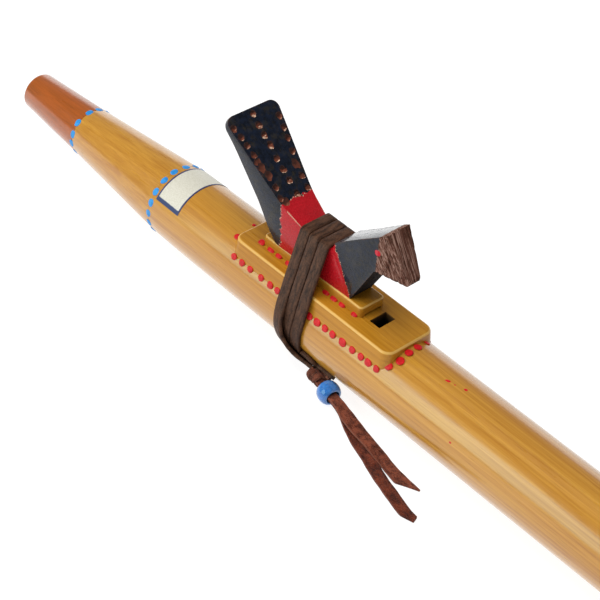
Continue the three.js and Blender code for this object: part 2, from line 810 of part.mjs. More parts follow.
addPiece('mouthpiece', mouthpieceGeometry(), '#b0602c', 0.4);
addPiece('head_cone', headConeGeometry(), '#cf9c52', 0.35);
addPiece('body_tube', bodyTubeGeometry(), '#cf9c52', 0.35);
addPiece('bore_plug', borePlugGeometry(), '#c79a63', 0.7);
addPiece('nest_block', nestGeometry(), '#c08a38', 0.35);
addPiece('flue_plate', fluePlateGeometry(), '#c08a38', 0.35);
addPiece('bird', birdGeometry(), '#232a36', 0.4);
addPiece('lace_winding', laceWindingGeometry(), '#4b3a2e', 0.75);
addPiece('lace_knot', laceKnotGeometry(), '#643828', 0.9);
addPiece('bead', beadGeometry(), '#4f9be0', 0.15);
addPiece('lace_tail_long', laceTailGeometry(longTailRoute), '#643828', 0.9);
addPiece('lace_tail_short', laceTailGeometry(shortTailRoute), '#643828', 0.9);
addPiece('paper_label', paperLabelGeometry(), '#efe8d2', 0.8);

const part = new THREE.Group();
part.add(flute);

export default part;
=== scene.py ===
import math
import random

import bmesh
import bpy
from mathutils import Matrix, Vector, noise


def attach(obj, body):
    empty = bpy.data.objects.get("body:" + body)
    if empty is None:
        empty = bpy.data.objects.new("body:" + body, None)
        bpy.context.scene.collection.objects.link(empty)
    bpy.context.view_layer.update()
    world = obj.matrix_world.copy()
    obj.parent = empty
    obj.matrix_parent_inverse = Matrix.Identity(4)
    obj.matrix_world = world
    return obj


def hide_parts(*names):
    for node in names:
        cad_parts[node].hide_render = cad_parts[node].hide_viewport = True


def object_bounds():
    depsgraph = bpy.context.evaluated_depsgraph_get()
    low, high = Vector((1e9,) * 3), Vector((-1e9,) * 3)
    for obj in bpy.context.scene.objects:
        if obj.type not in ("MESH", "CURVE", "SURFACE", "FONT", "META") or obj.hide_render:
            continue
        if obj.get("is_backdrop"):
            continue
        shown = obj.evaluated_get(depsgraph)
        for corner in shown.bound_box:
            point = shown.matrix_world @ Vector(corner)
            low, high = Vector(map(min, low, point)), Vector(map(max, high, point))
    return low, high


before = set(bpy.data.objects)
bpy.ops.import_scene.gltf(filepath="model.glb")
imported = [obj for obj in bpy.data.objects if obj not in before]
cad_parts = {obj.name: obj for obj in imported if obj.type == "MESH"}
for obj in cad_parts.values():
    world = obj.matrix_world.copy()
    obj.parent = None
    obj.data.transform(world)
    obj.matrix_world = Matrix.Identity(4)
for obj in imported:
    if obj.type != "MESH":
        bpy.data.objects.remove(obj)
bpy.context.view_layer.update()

# Camera: above the player's left hand, looking back along the flute with a long lens. Here and
# below, places on the flute are in millimetres: x from the tip of the mouthpiece, y and z from
# the middle line of the bore.
flute_length = 600
rest_height = 17.7


def at(x, y, z):
    """A place on the flute in the frame, in metres."""
    return Vector((x - flute_length / 2, y, z + rest_height)) / 1000


camera_place = at(534.293, -374.920, 446.668)
camera_azimuth = math.radians(44.248)
camera_elevation = math.radians(40.609)
camera_roll = math.radians(5.852)

camera_data = bpy.data.cameras.new("camera")
camera_data.lens = 108.022
camera_data.sensor_width = 36
camera_data.clip_start = 0.01
camera = bpy.data.objects.new("camera", camera_data)
camera_back = Vector((
    math.sin(camera_azimuth) * math.cos(camera_elevation),
    -math.cos(camera_azimuth) * math.cos(camera_elevation),
    math.sin(camera_elevation),
))
level_right = Vector((math.cos(camera_azimuth), math.sin(camera_azimuth), 0))
level_up = camera_back.cross(level_right)
camera_right = level_right * math.cos(camera_roll) + level_up * math.sin(camera_roll)
camera_up = level_up * math.cos(camera_roll) - level_right * math.sin(camera_roll)
camera_turn = Matrix((camera_right, camera_up, camera_back)).transposed()
camera.matrix_world = Matrix.Translation(camera_place) @ camera_turn.to_4x4()
bpy.context.scene.collection.objects.link(camera)
bpy.context.scene.camera = camera


# Two tails of the lace, cut from thin reddish-brown suede. They leave the knot one above the
# other, run through the bead and lie loose, their tips cut off at a slant.
tail_width = 4.7
tail_thickness = 1.25
tail_edge_ease = 0.32
tail_steps = 90
tail_waver = 0.07
tail_twist = 0.16
tail_fullness = 0.05
squeezed_steps = 30
bulge_step = 34
bulge_spread = 10
bulge_share = 0.1
upper_tail_route = [
    (199.3, -16.2, -12.7), (204, -17.12, -12.7), (209, -18.09, -12.7), (213.5, -18.96, -12.8),
    (219, -20.1, -13.7), (226, -21, -14.9), (232, -21.7, -15.4), (240, -22.7, -16.4),
    (246, -23.6, -16.95), (252, -24.4, -17), (259.6, -24.7, -17),
]
lower_tail_route = [
    (199.3, -15.95, -14.02), (204, -16.87, -14.02), (209, -17.83, -14.04), (213.5, -18.7, -14.1),
    (218.5, -20.1, -15.1), (224, -21.8, -16.4), (229, -23.6, -17), (238, -26.6, -17),
    (246, -29.4, -17), (256, -32.1, -17), (263, -33.9, -17), (269, -34.9, -17),
]


def linear(code):
    """A colour code such as c8964b as the shader's linear colour."""
    parts = [int(code[i:i + 2], 16) / 255 for i in (0, 2, 4)]
    return (*[c / 12.92 if c <= 0.04045 else ((c + 0.055) / 1.055) ** 2.4 for c in parts], 1)


def curved(points, steps, between=24):
    """Evenly spread places on a smooth curve through the points."""
    knots = [Vector(p) for p in points]
    ends = [knots[0] * 2 - knots[1], *knots, knots[-1] * 2 - knots[-2]]
    fine = []
    for i in range(len(knots) - 1):
        a, b, c, d = ends[i:i + 4]
        for k in range(between):
            t = k / between
            fine.append((b * 2 + (c - a) * t + (a * 2 - b * 5 + c * 4 - d) * t * t
                         + (b * 3 - a - c * 3 + d) * t ** 3) / 2)
    fine.append(knots[-1])
    run = [0]
    for a, b in zip(fine, fine[1:]):
        run.append(run[-1] + (b - a).length)
    places, i = [], 0
    for k in range(steps + 1):
        want = run[-1] * k / steps
        while i < len(fine) - 2 and run[i + 1] < want:
            i += 1
        places.append(fine[i].lerp(fine[i + 1], (want - run[i]) / (run[i + 1] - run[i])))
    return places


def object_of(name, bm, materials):
    """The finished mesh as an object, brought from millimetres on the flute into the frame."""
    shape = bpy.data.meshes.new(name)
    bm.to_mesh(shape)
    bm.free()
    shape.transform(Matrix.Diagonal((0.001, 0.001, 0.001, 1)) @ Matrix.Translation(
        (-flute_length / 2, 0, rest_height)))
    for one in materials:
        shape.materials.append(one)
    made = bpy.data.objects.new(name, shape)
    bpy.context.scene.collection.objects.link(made)
    return made


def new_piece(name, bm, materials, body, smooth=30):
    """A piece that rides on a body, shaded smooth where it bends less than an angle."""
    piece = object_of(name, bm, materials)
    piece.data.shade_smooth()
    piece.data.set_sharp_from_angle(angle=math.radians(smooth))
    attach(piece, body)
    return piece


def strip_section(width, thickness, ease):
    """The lace's section as (across, out) places: flat faces, softly eased edges."""
    w, t = width / 2, thickness / 2
    return [(-w, -t + ease), (-w, t - ease), (ease - w, t), (-w / 3, t * 1.04), (w / 3, t * 1.04),
            (w - ease, t), (w, t - ease), (w, -t + ease), (w - ease, -t), (w / 3, -t),
            (-w / 3, -t), (ease - w, -t)]


def sweep(bm, rings, section):
    """Extrudes the section along rings of (place, across, out, share of width), and remembers
    for the leather how far along and across the lace each point lies."""
    along = bm.verts.layers.float.get("along") or bm.verts.layers.float.new("along")
    across = bm.verts.layers.float.get("across") or bm.verts.layers.float.new("across")
    half = max(a for a, b in section)
    start, aside, out, share = rings[0]
    face = bm.faces.new([bm.verts.new(start + aside * a * share + out * b) for a, b in section])
    first = face.verts[:]
    run, before = 0, start
    for vert, (a, b) in zip(first, section):
        vert[across] = a / half
    for place, aside, out, share in rings[1:]:
        face = bmesh.ops.extrude_discrete_faces(bm, faces=[face])["faces"][0]
        run += (place - before).length
        before = place
        for vert, (a, b) in zip(face.verts, section):
            vert.co = place + aside * a * share + out * b
            vert[along] = run
            vert[across] = a / half
    bm.faces.new(first[::-1])
    bm.normal_update()


def squared(route, outward, shares=None):
    """Rings square to a route, turned so that the lace's face looks along outward."""
    rings = []
    for i, place in enumerate(route):
        forward = (route[min(i + 1, len(route) - 1)] - route[max(i - 1, 0)]).normalized()
        out = outward[i] if isinstance(outward, list) else outward
        out = (out - forward * out.dot(forward)).normalized()
        rings.append((place, out.cross(forward), out, shares[i] if shares else 1))
    return rings


def node(tree, kind, sockets=None, **settings):
    """Adds a shader node; a socket is given a value or another node's output."""
    made = tree.nodes.new("ShaderNode" + kind)
    for key, value in settings.items():
        setattr(made, key, value)
    for key, value in (sockets or {}).items():
        if isinstance(value, bpy.types.NodeSocket):
            tree.links.new(value, made.inputs[key])
        else:
            made.inputs[key].default_value = value
    return made.outputs


def finish_of(name, sockets):
    """A new material, its plain values set on the shader itself."""
    made = bpy.data.materials.new(name)
    made.use_nodes = True
    shader = made.node_tree.nodes["Principled BSDF"]
    for key, value in sockets.items():
        shader.inputs[key].default_value = value
    return made, made.node_tree, shader


def millimetres(tree):
    """The place on the flute in millimetres."""
    place = node(tree, "TexCoord")["Object"]
    return node(tree, "Mapping", {
        "Vector": place, "Location": (flute_length / 2, 0, -rest_height),
        "Scale": (1000, 1000, 1000)})[0]


def grain(tree, place, scale, detail=3, roughness=0.5, distortion=0):
    """Noise with one size per axis, from 0 to 1."""
    stretched = node(tree, "Mapping", {"Vector": place, "Scale": scale})[0]
    return node(tree, "TexNoise", {
        "Vector": stretched, "Scale": 1, "Detail": detail, "Roughness": roughness,
        "Distortion": distortion})["Fac"]


def ramp(tree, value, stops):
    """A colour or number that changes along stops of (place, colour code or number)."""
    made = tree.nodes.new("ShaderNodeValToRGB")
    tree.links.new(value, made.inputs[0])
    while len(made.color_ramp.elements) < len(stops):
        made.color_ramp.elements.new(0.5)
    for element, (place, colour) in zip(made.color_ramp.elements, stops):
        element.position = place
        element.color = linear(colour) if isinstance(colour, str) else (colour,) * 3 + (1,)
    return made.outputs[0]


def mixed(tree, share, first, second, how="MIX"):
    """Two colours mixed by a share."""
    made = tree.nodes.new("ShaderNodeMix")
    made.data_type = "RGBA"
    made.blend_type = how
    for place, value in ((0, share), (6, first), (7, second)):
        if isinstance(value, bpy.types.NodeSocket):
            tree.links.new(value, made.inputs[place])
        else:
            made.inputs[place].default_value = linear(value) if isinstance(value, str) else value
    return made.outputs[2]


def sum_of(tree, how, first, second=0.0, third=0.0):
    """Arithmetic on values or outputs."""
    made = tree.nodes.new("ShaderNodeMath")
    made.operation = how
    for place, value in enumerate((first, second, third)):
        if isinstance(value, bpy.types.NodeSocket):
            tree.links.new(value, made.inputs[place])
        else:
            made.inputs[place].default_value = value
    return made.outputs[0]


def led_by(tree, shader, socket, value, stops):
    """A socket whose colour or number follows a value along a ramp."""
    tree.links.new(ramp(tree, value, stops), shader.inputs[socket])


def raised(tree, shader, height, depth, below=None):
    """Relief of that depth in metres from a height of 0 to 1."""
    sockets = {"Height": height, "Distance": depth, "Strength": 1}
    if below:
        sockets["Normal"] = below
    normal = node(tree, "Bump", sockets)[0]
    tree.links.new(normal, shader.inputs["Normal"])
    return normal


def suede(name, dark, light, edge):
    """Napped leather: short fibres, a patchy nap, and paler cut edges."""
    made, tree, shader = finish_of(name, {
        "Roughness": 0.92, "Sheen Weight": 0.08, "Sheen Roughness": 0.45,
        "Specular IOR Level": 0.12})
    place = millimetres(tree)
    fibres = grain(tree, place, (1.8, 2.6, 2.6), detail=6, roughness=0.8, distortion=0.8)
    patches = grain(tree, place, (0.33, 0.45, 0.45), detail=3)
    both = sum_of(tree, "MULTIPLY_ADD", patches, 0.35, sum_of(tree, "MULTIPLY", fibres, 0.65))
    face = ramp(tree, both, [(0.43, dark), (0.57, light)])
    side = node(tree, "Attribute", attribute_name="across")["Fac"]
    side = sum_of(tree, "ABSOLUTE", side)
    rough_side = sum_of(tree, "MULTIPLY_ADD", fibres, 0.10, side)
    cut_edge = ramp(tree, rough_side, [(0.93, 0.0), (1.0, 0.85)])
    tree.links.new(mixed(tree, cut_edge, face, edge), shader.inputs["Base Color"])
    raised(tree, shader, fibres, 0.0009)
    return made


tail_suede = suede("tail_suede", "431a0f", "a3583f", "965a46")
# The lower tail lies in the shade of the upper one, so it gets a darker copy of the same suede:
# painted shade.
shaded_suede = suede("shaded_suede", "3b130a", "8c4229", "804838")
tail_section = strip_section(tail_width, tail_thickness, tail_edge_ease)


def all_of(bm, faces=None):
    """The whole mesh, or some faces with their edges and corners, for an operator to work on."""
    if faces is None:
        return bm.verts[:] + bm.edges[:] + bm.faces[:]
    return (faces + list({edge for face in faces for edge in face.edges})
            + list({vert for face in faces for vert in face.verts}))


def lace_tail(name, route, slant, node_name, seed, leather, squeeze):
    """One tail: a strip that wavers in width and twist, squeezed narrow in the bead and a little
    wider just after it, its tip sheared to a slant."""
    places = curved(route, tail_steps)
    shares, leans = [], []
    for k in range(tail_steps + 1):
        shares.append(1 + tail_waver * noise.noise(Vector((k * 0.16, seed, 0))) + tail_fullness
                      - squeeze * max(0, 1 - k / squeezed_steps)
                      + bulge_share * math.exp(-((k - bulge_step) / bulge_spread) ** 2))
        lean = tail_twist * noise.noise(Vector((k * 0.07, seed, 5)))
        leans.append(Vector((0, -math.sin(lean), math.cos(lean))))
    bm = bmesh.new()
    sweep(bm, squared(places, leans, shares), tail_section)
    tip = places[-1]
    heading = (places[-1] - places[-5]).normalized()
    leftward = Vector((0, 0, 1)).cross(heading)
    for left_of, right_of in slant:
        bmesh.ops.bisect_plane(bm, geom=all_of(bm), plane_co=tip + leftward * right_of,
                               plane_no=heading + leftward * left_of, clear_outer=True)
        bmesh.ops.holes_fill(bm, edges=[e for e in bm.edges if e.is_boundary])
    piece = new_piece(name, bm, [leather], "bird_and_lace", smooth=50)
    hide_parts(node_name)
    line = [at(*p) for p in places]
    length = sum((b - a).length for a, b in zip(line, line[1:]))
    return piece, line, length


upper_tail, upper_line, upper_length = lace_tail(
    "tail_upper", upper_tail_route, [(-1.9, 2.2)], "lace_tail_short", 3, tail_suede, 0.27)
lower_tail, lower_line, lower_length = lace_tail(
    "tail_lower", lower_tail_route, [(-2.2, 0.2), (0.5, 0)], "lace_tail_long", 8, shaded_suede, 0.4)


# Bead: a glossy blue moulded pony bead, slid over both tails below the knot. It has rounded
# sides, and a straight hole that the two tails fill.
bead_place = Vector((205.6, -17.3, -13.15))
bead_turn = math.radians(-11)
bead_radius = 4.5
bead_half_length = 3.1
bead_hole_radius = 2.75
bead_hole_inset = 0.12
bead_lip = 0.05
bead_arc_steps = 14


def lathe(bm, profile, steps):
    """Spins a closed profile of (x, radius) once round the X axis."""
    verts = [bm.verts.new((x, 0, r)) for x, r in profile]
    edges = [bm.edges.new((a, b)) for a, b in zip(verts, verts[1:] + verts[:1])]
    bmesh.ops.spin(bm, geom=verts + edges, cent=(0, 0, 0), axis=(1, 0, 0),
                   angle=2 * math.pi, steps=steps, use_merge=True)
    bmesh.ops.remove_doubles(bm, verts=bm.verts, dist=0.0005)
    bmesh.ops.recalc_face_normals(bm, faces=bm.faces)


def turned_to(bm, turn, axis, place):
    """Turns the whole mesh about an axis and moves it to its place."""
    bmesh.ops.rotate(bm, verts=bm.verts, matrix=Matrix.Rotation(turn, 3, axis))
    bmesh.ops.translate(bm, verts=bm.verts, vec=place)


bead_shape = bmesh.new()
bead_crown = bead_radius - bead_hole_radius
bead_profile = []
for step in range(bead_arc_steps + 1):
    angle = math.pi * step / bead_arc_steps
    bead_profile.append((-bead_half_length * math.cos(angle),
                         bead_hole_radius + bead_lip + bead_crown * math.sin(angle) ** 0.8))
for x in (bead_half_length * 0.55, -bead_half_length * 0.55):
    bead_profile.append((x, bead_hole_radius - bead_hole_inset))
lathe(bead_shape, bead_profile, 56)
turned_to(bead_shape, bead_turn, "Z", bead_place)
bead_glass, tree, shader = finish_of("bead_gloss", {
    "Roughness": 0.16, "Coat Weight": 0.7, "Coat Roughness": 0.05,
    "Subsurface Weight": 0.12, "Subsurface Scale": 0.002})
cloudy = grain(tree, millimetres(tree), (0.5, 0.5, 0.5), detail=2)
led_by(tree, shader, "Base Color", cloudy, [(0.3, "2564aa"), (0.7, "3c80cc")])
scuffs = grain(tree, millimetres(tree), (2, 2, 2), detail=4)
led_by(tree, shader, "Roughness", scuffs, [(0.45, 0.12), (0.8, 0.3)])
bead = new_piece("bead_blue", bead_shape, [bead_glass], "bead_body", smooth=60)
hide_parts("bead")


# Mouthpiece: turned from reddish hardwood, tapered to a rounded lip with the blow hole bored
# through its end, and glued into the head by a tenon. Lacquered.
mouthpiece_length = 37.7
lip_radius = 8.2
mouthpiece_radius = 10.7
blow_hole_radius = 3
mouthpiece_tenon_radius = 7
mouthpiece_tenon_length = 10
turning_steps = 144
corner_steps = 5


def eased(points):
    """A profile whose corners (x, radius, rounding) are eased by short arcs."""
    line = []
    for i, (x, r, rounding) in enumerate(points):
        corner = Vector((x, r))
        if not rounding:
            line.append((x, r))
            continue
        before = Vector(points[i - 1][:2])
        after = Vector(points[(i + 1) % len(points)][:2])
        entry = corner + (before - corner).normalized() * rounding
        leave = corner + (after - corner).normalized() * rounding
        for k in range(corner_steps + 1):
            t = k / corner_steps
            place = entry * (1 - t) ** 2 + corner * 2 * t * (1 - t) + leave * t * t
            line.append(tuple(place))
    return line


def lacquered_wood(name, early, late, pore, turn=0.0, rim=None, coat=1.0):
    """Straight-grained wood under a satin lacquer: growth rings seen as long streaks, short
    dark pores that follow the grain, a slow change of tone, and, when a rim colour is given, a
    painted highlight of that colour on faces that lean between upright and flat."""
    made, tree, shader = finish_of(name, {
        "Coat Weight": coat, "Coat Roughness": 0.18, "Coat IOR": 1.6, "Specular IOR Level": 0.2})
    place = millimetres(tree)
    place = node(tree, "Mapping", {"Vector": place, "Rotation": (turn, 0.004, 0.006)})[0]
    rings = grain(tree, place, (0.003, 0.10, 0.06), detail=3, roughness=0.5)
    rings = sum_of(tree, "FRACT", sum_of(tree, "MULTIPLY", rings, 14.0))
    rings = ramp(tree, rings, [(0.0, 0.2), (0.6, 0.5), (0.9, 0.9), (1.0, 0.2)])
    streaks = grain(tree, place, (0.013, 0.8, 0.8), detail=6, roughness=0.62)
    tone = grain(tree, place, (0.008, 0.045, 0.045), detail=2)
    share = sum_of(tree, "MULTIPLY_ADD", streaks, 0.6, sum_of(tree, "MULTIPLY", rings, 0.1))
    share = sum_of(tree, "MULTIPLY_ADD", tone, 0.36, share)
    colour = ramp(tree, share, [(0.38, early), (0.68, late)])
    pores = grain(tree, place, (0.09, 3.2, 3.2), detail=4, roughness=0.65)
    pores = ramp(tree, pores, [(0.56, 0.0), (0.72, 0.4)])
    colour = mixed(tree, pores, colour, pore)
    # A rim colour paints a highlight on faces that lean between upright and flat, such as bevelled
    # edges.
    if rim:
        lean = node(tree, "SeparateXYZ", {"Vector": node(tree, "NewGeometry")["Normal"]})["Z"]
        edge_highlight = ramp(tree, lean, [(0.25, 0.0), (0.45, 0.7), (0.85, 0.7), (0.97, 0.0)])
        colour = mixed(tree, edge_highlight, colour, rim)
    tree.links.new(colour, shader.inputs["Base Color"])
    sheen = grain(tree, place, (0.06, 0.4, 0.4), detail=3)
    led_by(tree, shader, "Roughness", sheen, [(0.3, 0.26), (0.7, 0.42)])
    raised(tree, shader, streaks, 0.00004)
    return made


mouthpiece_wood = lacquered_wood("mouthpiece_wood", "b45a18", "934a0a", "66300c", turn=0.6)
mouthpiece_shape = bmesh.new()
tenon_end = mouthpiece_length + mouthpiece_tenon_length
lathe(mouthpiece_shape, eased([
    (0, blow_hole_radius, 0.6),
    (0, lip_radius, 0.7),
    (mouthpiece_length, mouthpiece_radius, 0.25),
    (mouthpiece_length, mouthpiece_tenon_radius, 0),
    (tenon_end, mouthpiece_tenon_radius, 0.5),
    (tenon_end, blow_hole_radius, 0),
]), turning_steps)
mouthpiece = new_piece("mouthpiece_turned", mouthpiece_shape, [mouthpiece_wood], "body")
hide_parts("mouthpiece")


# Head cone: turned from the same honey-coloured wood as the body, it swells from the
# mouthpiece to the shoulder and is glued into the tube by a wide tenon.
head_cone_length = 57.5
shoulder_radius = 15.55
cone_throat_radius = 5.6
cone_tenon_radius = 13.2
cone_tenon_length = 12
bore_radius = 11
tube_start = mouthpiece_length + head_cone_length
joint_gap = 0.05
tenon_play = 0.1
tenon_end_gap = 0.3

honey_wood = lacquered_wood("honey_wood", "cc9636", "ac711c", "76460f")
cone_shape = bmesh.new()
socket_end = tenon_end + tenon_end_gap
socket_radius = mouthpiece_tenon_radius + tenon_play
cone_tenon_end = tube_start + cone_tenon_length
lathe(cone_shape, eased([
    (mouthpiece_length + joint_gap, socket_radius, 0),
    (mouthpiece_length + joint_gap, mouthpiece_radius, 0.2),
    (tube_start, shoulder_radius, 0.2),
    (tube_start, cone_tenon_radius, 0),
    (cone_tenon_end, cone_tenon_radius, 0.5),
    (cone_tenon_end, bore_radius, 0.5),
    (tube_start, bore_radius, 0),
    (socket_end, cone_throat_radius, 0),
    (socket_end, socket_radius, 0),
]), turning_steps)
head_cone = new_piece("head_cone_turned", cone_shape, [honey_wood], "body")
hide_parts("head_cone")


# Body tube: bored, turned and lacquered. Six finger holes are burnt into its top, and two
# square holes under the nest let the air out of one chamber and into the other.
tube_radius = 16
shoulder_fairing = 40
fairing_steps = 8
ring_spacing = 8
plain_rings = 57
edge_chamfer = 0.8
sound_hole_start = 209.2
sound_hole_length = 5.1
air_hole_half_width = 4.1
exit_slot_start = 166
exit_slot_length = 7
finger_hole_radius = 4
finger_hole_flare = 0.7
drill_from = 5
drill_to = tube_radius + 3
finger_hole_shares = [0.39, 0.465, 0.535, 0.625, 0.7, 0.78]


def body_radius(x):
    """The shoulder swells to the full tube over the fairing."""
    share = min(max((x - tube_start) / shoulder_fairing, 0), 1)
    return tube_radius - (tube_radius - shoulder_radius) * (1 - share) ** 2


def box_shape(bm, low, high):
    """A box between two corners."""
    made = bmesh.ops.create_cube(bm, size=1)["verts"]
    size = Vector(high) - Vector(low)
    bmesh.ops.scale(bm, verts=made, vec=size)
    bmesh.ops.translate(bm, verts=made, vec=(Vector(low) + Vector(high)) / 2)
    return made


def cutter_of(bm, finish):
    """A tool for a cut, whose own finish is left on the faces it makes."""
    return object_of("cutter", bm, [finish])


def cut(piece, *tools, smooth=30):
    """Takes the tools out of the piece for good."""
    for tool in tools:
        step = piece.modifiers.new("cut", "BOOLEAN")
        step.operation = "DIFFERENCE"
        step.solver = "EXACT"
        step.material_mode = "TRANSFER"
        step.object = tool
        bpy.context.view_layer.update()
        done = bpy.data.meshes.new_from_object(
            piece.evaluated_get(bpy.context.evaluated_depsgraph_get()))
        piece.modifiers.clear()
        piece.data = done
        bpy.data.objects.remove(tool)
    piece.data.shade_smooth()
    piece.data.set_sharp_from_angle(angle=math.radians(smooth))


burnt_wood, tree, shader = finish_of("burnt_hole_wood", {"Roughness": 0.75})
char = grain(tree, millimetres(tree), (1.2, 1.2, 1.2), detail=4, roughness=0.65)
led_by(tree, shader, "Base Color", char, [(0.35, "2c1a0d"), (0.7, "6a4322")])
raised(tree, shader, char, 0.0001)

sawn_wood, tree, shader = finish_of("sawn_wood", {"Roughness": 0.62})
saw = grain(tree, millimetres(tree), (0.3, 2.4, 2.4), detail=4, roughness=0.6)
led_by(tree, shader, "Base Color", saw, [(0.35, "b98542"), (0.7, "e0b26c")])
raised(tree, shader, saw, 0.00008)

# Walls of the air holes: ochre near the top turning to black lower down, painted shade that
# deepens into the holes.
shaded_hole_wood, tree, shader = finish_of("air_hole_painted_shade", {"Roughness": 0.7})
depth = node(tree, "SeparateXYZ", {"Vector": millimetres(tree)})["Z"]
depth = sum_of(tree, "MULTIPLY", depth, 0.05)
led_by(tree, shader, "Base Color", depth, [(0.72, "0b0805"), (0.86, "4e3413"), (0.91, "96692a")])

tube_shape = bmesh.new()
fairing = [tube_start + joint_gap + shoulder_fairing * k / fairing_steps
           for k in range(1, fairing_steps + 1)]
plain_run = [tube_start + shoulder_fairing + ring_spacing * k for k in range(1, plain_rings + 1)]
tube_socket_radius = cone_tenon_radius + tenon_play
lathe(tube_shape, eased([
    (tube_start + joint_gap, tube_socket_radius, 0),
    (tube_start + joint_gap, shoulder_radius, 0.12),
    *[(x, body_radius(x), 0) for x in fairing],
    *[(x, tube_radius, 0) for x in plain_run],
    (flute_length, tube_radius, edge_chamfer),
    (flute_length, bore_radius, edge_chamfer),
    (cone_tenon_end + tenon_end_gap, bore_radius, 0),
    (cone_tenon_end + tenon_end_gap, tube_socket_radius, 0),
]), turning_steps)
body_tube = new_piece("body_tube_turned", tube_shape, [honey_wood], "body")
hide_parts("body_tube")

finger_tool = bmesh.new()
flare_radius = finger_hole_radius + finger_hole_flare + 0.5
sound_hole_end = sound_hole_start + sound_hole_length
for share in finger_hole_shares:
    hole_x = sound_hole_end + share * (flute_length - sound_hole_end)
    hole = bmesh.new()
    lathe(hole, eased([
        (drill_from, 0.01, 0), (drill_from, finger_hole_radius, 0),
        (tube_radius - 0.4, finger_hole_radius, 0.9), (tube_radius + 0.5, flare_radius, 0),
        (drill_to, flare_radius, 0), (drill_to, 0.01, 0),
    ]), 48)
    turned_to(hole, -math.pi / 2, "Y", (hole_x, 0, 0))
    spare = bpy.data.meshes.new("hole")
    hole.to_mesh(spare)
    hole.free()
    finger_tool.from_mesh(spare)
    bpy.data.meshes.remove(spare)
bmesh.ops.recalc_face_normals(finger_tool, faces=finger_tool.faces)


def air_hole_tool(top):
    """Both square holes, from the bore up."""
    tool = bmesh.new()
    for start, length in ((sound_hole_start, sound_hole_length),
                          (exit_slot_start, exit_slot_length)):
        box_shape(tool, (start, -air_hole_half_width, bore_radius / 2),
                  (start + length, air_hole_half_width, top))
    return tool


cut(body_tube, cutter_of(finger_tool, burnt_wood), cutter_of(air_hole_tool(20), shaded_hole_wood))


# Bore plug: a short unfinished dowel glued across the bore. It parts the two air chambers,
# and its top corners slope to turn the air up and back down.
plug_start = 176
plug_length = 29
plug_ramp = 6

plug_shape = bmesh.new()
plug_radius = bore_radius - tenon_play
plug_end = plug_start + plug_length
bmesh.ops.create_cone(plug_shape, cap_ends=True, segments=96, radius1=plug_radius,
                      radius2=plug_radius, depth=plug_length)
turned_to(plug_shape, math.pi / 2, "Y", ((plug_start + plug_end) / 2, 0, 0))
for ramp_x, ramp_side in ((plug_start, -1), (plug_end, 1)):
    split = bmesh.ops.bisect_plane(
        plug_shape, geom=all_of(plug_shape), plane_co=(ramp_x, 0, plug_radius - plug_ramp),
        plane_no=(ramp_side, 0, 1), clear_outer=True)
    edges = [e for e in split["geom_cut"] if isinstance(e, bmesh.types.BMEdge)]
    bmesh.ops.holes_fill(plug_shape, edges=edges)
bmesh.ops.recalc_face_normals(plug_shape, faces=plug_shape.faces)
plug = new_piece("bore_plug_dowel", plug_shape, [sawn_wood], "body")
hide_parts("bore_plug")


# Nest: a block of darker amber wood with rounded corners, hollowed to fit the tube, glued
# down and lacquered with it. The bird's flue plate lies on its flat top.
nest_start = 141.7
nest_length = 86
nest_half_width = 12.8
nest_top = 17.95
nest_skirt = 9
nest_draft = 0.75
nest_corner = 4.2
nest_edge = 1.1
glue_overlap = 0.02


def eased_block(low, high, corner, edge, draft=0.0):
    """A block with rounded upright corners, leaning sides and a softened top edge."""
    bm = bmesh.new()
    box_shape(bm, low, high)
    upright = [e for e in bm.edges
               if abs((e.verts[0].co - e.verts[1].co).normalized().z) > 0.9]
    bmesh.ops.bevel(bm, geom=upright, offset=corner, offset_type="OFFSET", segments=10,
                    profile=0.5, affect="EDGES", material=-1)
    top = [v for v in bm.verts if v.co.z > high[2] - 0.01]
    size = Vector(high) - Vector(low)
    middle = (Vector(high) + Vector(low)) / 2
    bmesh.ops.translate(bm, verts=bm.verts, vec=-middle)
    bmesh.ops.scale(bm, verts=top, vec=(1 - 2 * draft / size.x, 1 - 2 * draft / size.y, 1))
    bmesh.ops.translate(bm, verts=bm.verts, vec=middle)
    rim = [e for e in bm.edges if all(v.co.z > high[2] - 0.01 for v in e.verts)]
    bmesh.ops.bevel(bm, geom=rim, offset=edge, offset_type="OFFSET", segments=5,
                    profile=0.5, affect="EDGES", material=-1, clamp_overlap=True)
    bmesh.ops.recalc_face_normals(bm, faces=bm.faces)
    return bm


# The amber wood's rim colour paints a pale highlight along the bevelled top edges of nest and
# plate.
amber_wood = lacquered_wood("amber_wood", "c58c2a", "a86e18", "7c4c10", turn=0.9, rim="e6bb68",
                            coat=0.2)
nest_end = nest_start + nest_length
nest_shape = eased_block((nest_start, -nest_half_width, nest_skirt),
                         (nest_end, nest_half_width, nest_top), nest_corner, nest_edge, nest_draft)
nest = new_piece("nest_glued", nest_shape, [amber_wood], "body")
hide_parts("nest_block")
bed_tool = bmesh.new()
bed_radius = tube_radius - glue_overlap
bmesh.ops.create_cone(bed_tool, cap_ends=True, segments=turning_steps, radius1=bed_radius,
                      radius2=bed_radius, depth=nest_length + 20)
turned_to(bed_tool, math.pi / 2, "Y", ((nest_start + nest_end) / 2, 0, 0))
cut(nest, cutter_of(bed_tool, sawn_wood), cutter_of(air_hole_tool(22), shaded_hole_wood))


# Flue plate: a thin amber board on the nest. A shallow channel cut in its underside runs from
# the exit hole to its front edge, where it shows as a dark slit that blows on the sound hole.
plate_start = 152.5
plate_length = 53.9
plate_half_width = 6.2
plate_thickness = 4.55
plate_corner = 1.6
plate_edge = 0.9
plate_draft = 0.15
channel_height = 0.9
plate_top = nest_top + plate_thickness

